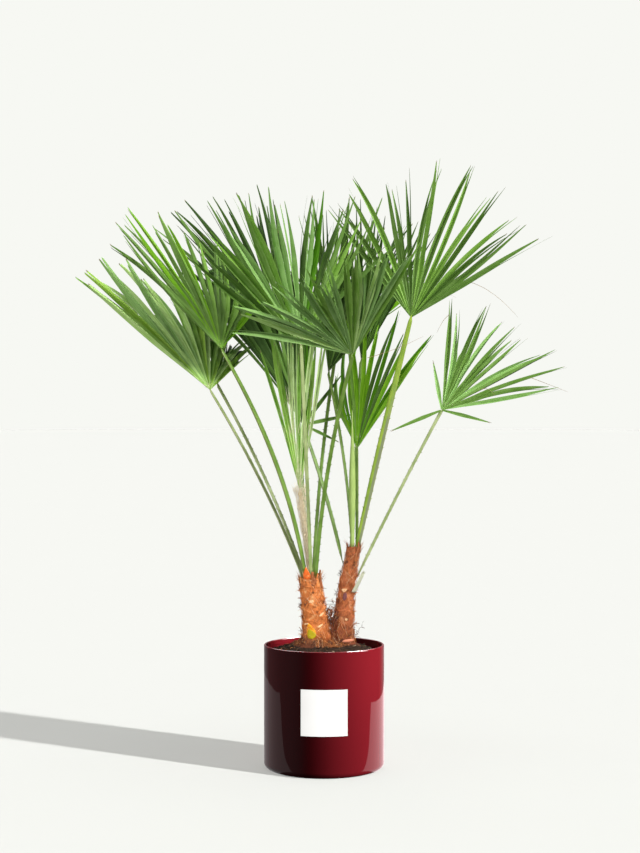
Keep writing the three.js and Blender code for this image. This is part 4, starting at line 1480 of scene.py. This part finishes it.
def add_bark(name, stem):
    rows, columns = 150, 132
    rings = []
    for row in range(rows + 1):
        height = stem_foot + (stem["top_height"] - stem_foot) * row / rows
        rings.append([stem_place(stem, height, angle, bark_relief(stem, height, angle))
                      for angle in round_steps(columns)])
    crown = stem_centre(stem, stem["top_height"])
    for share in (0.85, 0.6, 0.3):
        ring = []
        for place in rings[rows]:
            rough = bumps(place[0] * 0.3 * share, place[1] * 0.3 * share, stem["bark_seed"]) * 1.2
            ring.append(crown + (place - crown) * share + up * (rough - 0.8))
        rings.append(ring)
    heap = Heap()
    heap.tube(rings, stem_centre(stem, stem_foot), crown - up * 0.5)
    heap.piece("bark_" + name, [bark_skins[name]], "stem_fibre", ["stem_" + name])


def add_stem_fibres(name, stem):
    """Strands of old sheaths wound both ways round the stem, with bristly tufts on its sides."""
    draw = random.Random(stem["fibre_seed"])
    heap = Heap()
    low, high = stem_foot, stem["top_height"]
    for _ in range(wound_fibres):
        angle = draw.uniform(0, math.tau)
        height = draw.uniform(low, high - 4)
        radius = stem_radius(stem, height)
        length = draw.uniform(8, 32)
        slope = math.radians(draw.choice((-1, 1)) * draw.uniform(12, 60))
        proud = draw.uniform(0.6, 1.8)
        loose = draw.random() < 0.14
        places = []
        for step in range(6):
            share = step / 5
            turned = angle + length * math.sin(slope) * share / radius
            rise = min(height + length * math.cos(slope) * share, high + 5)
            lifted = proud + (draw.uniform(3, 8) * share ** 2 if loose else 0.5 * math.sin(math.pi * share))
            place = stem_place(stem, min(rise, high), turned, lifted)
            places.append(place + up * max(0.0, rise - high))
        thickness = draw.uniform(0.35, 0.8)
        strand(heap, places, thickness, draw.choices((0, 1, 2), stem["fibre_shares"])[0], draw)
    for _ in range(stem_tufts):
        angle = draw.uniform(0, math.tau)
        height = draw.uniform(low + 8, high - 2)
        root = stem_place(stem, height, angle, 0.0)
        outward = level_way(angle)
        sideways = np.cross(up, outward)
        slot = draw.choices((0, 1, 3), (2, 3, 4))[0]
        for _ in range(draw.randint(3, 8)):
            aim = outward * draw.uniform(0.5, 1.0) + up * draw.uniform(-0.2, 1.0)
            aim = unit(strayed(draw, aim, (sideways, 0.5)))
            start = strayed(draw, root, (up, 2.0), (sideways, 2.5))
            bend = up * draw.uniform(-0.5, 0.4)
            bristle(heap, start, aim, bend, draw.uniform(4, 11), draw.uniform(0.6, 1.3), slot, draw)
    heap.piece("fibres_" + name, fibre_skins("orange", "brown", "pale", "dark"), "stem_fibre")


def add_wiry_fibres():
    """Wiry fibres between the two stems and at the right one's foot."""
    draw = random.Random(wiry_seed)
    heap = Heap()
    for (x, y), spread, heights, amount in (((18, -24), 9, (288, 332), 26), ((68, -8), 8, (262, 288), 12)):
        for _ in range(amount):
            root = np.array((x + draw.uniform(-1, 1) * spread, y + draw.uniform(-8, 8),
                             draw.uniform(*heights)))
            aim = unit(np.array((draw.uniform(-1, 1), draw.uniform(-0.5, 0.3), draw.uniform(-0.2, 1.0))))
            bend = np.array((draw.uniform(-0.9, 0.9), draw.uniform(-0.3, 0.3), draw.uniform(-0.9, 0.2)))
            length, thickness = draw.uniform(7, 18), draw.uniform(0.8, 1.6)
            bristle(heap, root, aim, bend, length, thickness, draw.choice((0, 0, 0, 1)), draw)
    for _ in range(gap_fibres):
        height = draw.uniform(stem_foot, 312)
        gap = 1 + 12 * smooth_step(262, 312, height)
        root = np.array((stem_divide_x + 2 + draw.uniform(-1, 1) * gap, draw.uniform(-22, 14), height))
        aim = unit(np.array((draw.uniform(-0.7, 0.7), draw.uniform(-0.4, 0.4), 1.0)))
        bend = np.array((draw.uniform(-0.3, 0.3), draw.uniform(-0.3, 0.2), -0.3))
        length, thickness = draw.uniform(7, 20), draw.uniform(0.9, 2.2)
        bristle(heap, root, aim, bend, length, thickness, draw.choice((0, 1, 1, 2)), draw)
    heap.piece("wiry_fibres", fibre_skins("dark", "brown", "red"), "stem_fibre")


def add_collar(name, stem):
    """Ragged ends of leaf sheaths round the stem's top, and the fibres that they fray into."""
    draw = random.Random(stem["collar_seed"])
    heap = Heap()
    high = stem["top_height"]
    flaps = stem["flaps"]
    columns, rows = 7, 7
    for flap in range(flaps):
        middle = math.tau * (flap + draw.uniform(-0.4, 0.4)) / flaps
        width = draw.uniform(5, 13)
        base = high - draw.uniform(8, 30)
        top = high + draw.uniform(-3, 13)
        flare = draw.uniform(0.0, 2.6)
        point = draw.uniform(0.2, 0.85)
        rings = []
        for row in range(rows + 1):
            share = row / rows
            height = base + (top - base) * share
            radius = stem_radius(stem, min(height, high)) + 0.4 + flare * share ** 2
            half = width / 2 * (1 - point * share) / radius
            centre = stem_centre(stem, min(height, high))
            outer, inner = [], []
            for column in range(columns + 1):
                outward = level_way(middle + half * (2 * column / columns - 1))
                ragged = draw.uniform(-2.4, 2.4) if row == rows else 0.0
                place = centre + outward * radius
                place[2] = height + ragged
                outer.append(place + outward * 0.35)
                inner.append(place - outward * 0.35)
            rings.append(outer + inner[::-1])
        heap.tube(rings, ring_middle(rings[0]), ring_middle(rings[-1]), draw.choice((0, 0, 1)))
    for _ in range(stem["frays"]):
        outward = level_way(draw.uniform(0, math.tau))
        start = stem_centre(stem, high) + outward * (stem["top_radius"] * draw.uniform(0.8, 1.08))
        start[2] -= draw.uniform(0, 16)
        aim = unit(strayed(draw, up + outward * draw.uniform(0.0, 0.5), (np.cross(up, outward), 0.4)))
        length, thickness = draw.uniform(8, 24), draw.uniform(0.4, 0.9)
        bristle(heap, start, aim, outward * 0.2, length, thickness, draw.choice((0, 1, 1, 2)), draw)
    heap.piece("collar_" + name, [bark_skins[name], *fibre_skins("brown", "pale")], "stem_fibre")


def add_flakes():
    """Pale flakes and slits where old stalks broke off, a dark scar and the flap of a green base."""
    heap = Heap()
    for layer, (stem_name, bearing, height, width, tall, turn, wider, finish) in enumerate(flakes):
        stem = stems[stem_name]
        angle = math.radians(bearing)
        tilt = math.radians(turn)
        relief = bark_relief(stem, height, angle)
        rings = []
        for proud, share in ((-2.0, 1.0), (2.0, 1.0), (2.5, 0.86), (2.2, 0.5)):
            ring = []
            for around in round_steps(24):
                level = width / 2 * share * math.cos(around) * (1 - wider * math.sin(around))
                rise = tall / 2 * share * math.sin(around)
                spot_height = height + (level * math.sin(tilt) + rise * math.cos(tilt))
                level = level * math.cos(tilt) - rise * math.sin(tilt)
                spot_angle = angle + level / stem_radius(stem, spot_height)
                ring.append(stem_place(stem, spot_height, spot_angle, relief + proud + 0.12 * layer))
            rings.append(ring)
        heap.tube(rings, ring_middle(rings[0]), ring_middle(rings[-1]), flake_finishes.index(finish))
    heap.piece("stem_flakes", [fibres[name] for name in flake_finishes], "stem_fibre")


def add_stub():
    """The stub of a cut stalk, dry and grey, with a hollow end and splinters."""
    draw = random.Random(stub_seed)
    stem = stems["right"]
    height = scale_height(stem, stub_row)
    lean = math.radians(stub_lean)
    outward = level_way(math.radians(stub_bearing))
    reach = stem_radius(stem, height) + clearance + stub_thickness / 2 * math.cos(lean)
    start = stem_centre(stem, height) + outward * reach
    along = outward * math.sin(lean) + up * math.cos(lean)
    across = np.cross(up, outward)
    over = np.cross(along, across)
    rings = []
    for step in range(13):
        share = step / 12
        half = stub_width / 2 * (1 - 0.25 * share) * (1 + 0.03 * math.sin(share * 17))
        rings.append(cross_ring(start + along * (stub_length * share), across, over, half, half * 0.45, 14))
    end = start + along * stub_length
    rings.append(cross_ring(end + along * 0.3, across, over, stub_width * 0.27, stub_width * 0.11, 14))
    heap = Heap()
    heap.tube(rings, start, end - along * 3)
    for _ in range(40):
        root = strayed(draw, end, (across, 3.6), (over, 1.4)) - along * 1.5
        aim = unit(strayed(draw, along, (across, 0.35), (over, 0.3)))
        length = draw.uniform(3, 12)
        strand(heap, [root + aim * (length * step / 3) for step in range(4)], 0.8, 0, draw)
    heap.piece("stub_of_stalk", [fibres["dry_stub"]], "dry_stalk", ["cut_stalk_stub"])


def add_spear():
    """The unopened leaf: pleats folded shut round a slender core."""
    base = np.array((*spear_base, stems["right"]["top_height"] + clearance))
    tip = np.array(spear_tip, dtype=float)
    along = unit(tip - base)
    across = unit(rightwards - along * along[0])
    sides, stations = 24, 30
    rings, maps = [], []
    for station in range(stations):
        share = station / stations
        narrowed = 1 - smooth_step(0.45, 1.0, share) * 0.86
        width = spear_width * (0.55 + 0.45 * smooth_step(0, 0.4, share)) * narrowed
        way = unit(up * (1 - min(1, share * 5)) + along * min(1, share * 5))
        level = unit(across - way * float(across @ way))
        other = np.cross(way, level)
        ring = []
        for side, angle in enumerate(round_steps(sides)):
            pleat = 1.0 + (0.13 if side % 2 else -0.13)
            ring.append(base + (tip - base) * share + level * (width / 2 * pleat * math.cos(angle))
                        + other * (width / 4 * pleat * math.sin(angle)))
        rings.append(ring)
        maps.append([(side / sides * 6 - 3, share * 3) for side in range(sides + 1)])
    heap = Heap()
    heap.tube(rings, base, tip, 0, maps)
    heap.piece("spear_folded", [greens["spear"]], "young_blade", ["spear_leaf"], "leaf")


# Stage, light and camera


def add_sheet(name, outline, height, material):
    """A flat sheet on the ground, its outline in metres."""
    mesh = bpy.data.meshes.new(name)
    mesh.from_pydata([(x, y, height) for x, y in outline], [], [tuple(range(len(outline)))])
    mesh.materials.append(material)
    sheet = bpy.data.objects.new(name, mesh)
    bpy.context.collection.objects.link(sheet)
    sheet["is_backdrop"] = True
    return sheet


def hide_from(sheet, *rays):
    """Leaves a sheet out of what some kinds of ray see."""
    for kind in rays:
        setattr(sheet, "visible_" + kind, False)


def glow(name, colour, strength):
    paint = Paint(name)
    shader = paint.node("ShaderNodeEmission", {}, {"Color": colour, "Strength": strength}, "Emission")
    return paint.end_with(shader)


def add_stage():
    paint = Paint("pale_floor")
    colour = paint.mix(paint.grain(paint.place(), 2.0), floor_low, floor_high)
    outline = [(-floor_side, floor_front), (floor_side, floor_front), (floor_side, floor_back),
               (-floor_side, floor_back)]
    floor = add_sheet("floor", outline, 0, paint.finished(colour, 0.9, {"Specular IOR Level": 0.0}))
    hide_from(floor, "diffuse", "glossy", "shadow")
    # Glowing sheets that only the lacquer mirrors: a painted reflection of white paper
    for name, outline, colour, strength in (
            ("paper_right", paper_right, (1.0, 0.84, 0.86, 1.0), 1.5),
            ("paper_left", paper_left, (1.0, 0.97, 0.97, 1.0), 0.42)):
        paper = add_sheet(name, outline, 0.002, glow(name + "_glow", colour, strength))
        hide_from(paper, "camera", "diffuse", "shadow", "transmission")
    return floor


def add_lamp(name, lit, strength, width, bearing, height, shadows):
    """A far lamp that lights only the pieces it is given."""
    lamp = bpy.data.objects.new(name, bpy.data.lights.new(name, "SUN"))
    lamp.data.energy = strength
    lamp.data.angle = math.radians(width)
    lamp.data.use_shadow = shadows
    turn, rise = math.radians(bearing), math.radians(height)
    towards = Vector((math.cos(turn) * math.cos(rise), math.sin(turn) * math.cos(rise), math.sin(rise)))
    lamp.rotation_euler = towards.to_track_quat("Z", "Y").to_euler()
    bpy.context.collection.objects.link(lamp)
    receivers = bpy.data.collections.new(name + "_lit")
    for piece in lit:
        receivers.objects.link(piece)
    lamp.light_linking.receiver_collection = receivers
    lamp.visible_diffuse = name not in only_mirrored
    if name in only_direct:
        lamp.data.cycles.max_bounces = 0


def add_surroundings():
    """What the object sees round it is a dim studio. The camera sees a plain pale backdrop."""
    world = bpy.data.worlds.new("studio")
    bpy.context.scene.world = world
    studio = Paint(world.name, world)
    way = studio.node("ShaderNodeTexCoord", {}, {}, "Generated")
    walls = studio.part_of(way, "X").between(-0.75, 0.8) * (wall_bright - wall_dim) + wall_dim
    ceiling = studio.part_of(way, "Z").between(0.1, 0.9) * ceiling_bright
    behind = studio.part_of(way, "Y").between(0.6, 1.0) * behind_bright
    above = studio.part_of(way, "Z").between(-0.02, 0.02)
    low_left = (0.0 - studio.part_of(way, "X")).between(0.4, 0.95) * low_left_bright
    level = (walls + ceiling) * above + behind + low_left + ground_bright
    light = studio.node("ShaderNodeBackground", {}, {"Color": (1.0, 1.0, 1.0, 1.0), "Strength": level})
    backdrop = studio.node("ShaderNodeBackground", {}, {"Color": shade(*backdrop_colour), "Strength": 1.0})
    seen = studio.node("ShaderNodeLightPath", {}, {}, "Is Camera Ray")
    shown = studio.node("ShaderNodeMixShader", {}, {0: seen, 1: light, 2: backdrop})
    studio.end_with(shown)


def add_camera():
    camera = bpy.data.objects.new("camera", bpy.data.cameras.new("camera"))
    camera.data.lens = camera_lens
    camera.data.clip_end = 600
    camera.location = camera_place
    camera.rotation_euler = (math.radians(90), 0, 0)
    bpy.context.collection.objects.link(camera)
    bpy.context.scene.camera = camera
    bpy.context.scene.view_settings.view_transform = "Standard"


add_camera()
add_surroundings()
floor = add_stage()
add_pot()
add_label()
add_soil()
add_crumbs()
add_root_mat()
add_soil_fibres()
for stem_name, stem in stems.items():
    add_bark(stem_name, stem)
for stem_name, stem in stems.items():
    add_stem_fibres(stem_name, stem)
add_wiry_fibres()
for stem_name, stem in stems.items():
    add_collar(stem_name, stem)
add_flakes()
add_stub()
add_spear()
grown_leaves = grow_leaves()
for number, grown_leaf in enumerate(grown_leaves):
    add_stalk(grown_leaf, stalk_seed + number)
    add_blade(grown_leaf, blade_seed + number)
add_wool(grown_leaves)
add_threads(grown_leaves)

lit = {"floor": [floor], "pot": [], "label": [], "plant": []}
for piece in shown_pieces():
    lit[{"pot_shell": "pot", "label_plate": "label"}.get(piece.name, "plant")].append(piece)
for lamp_name, (group, *lamp_numbers) in lamps.items():
    add_lamp(lamp_name, lit[group], *lamp_numbers)
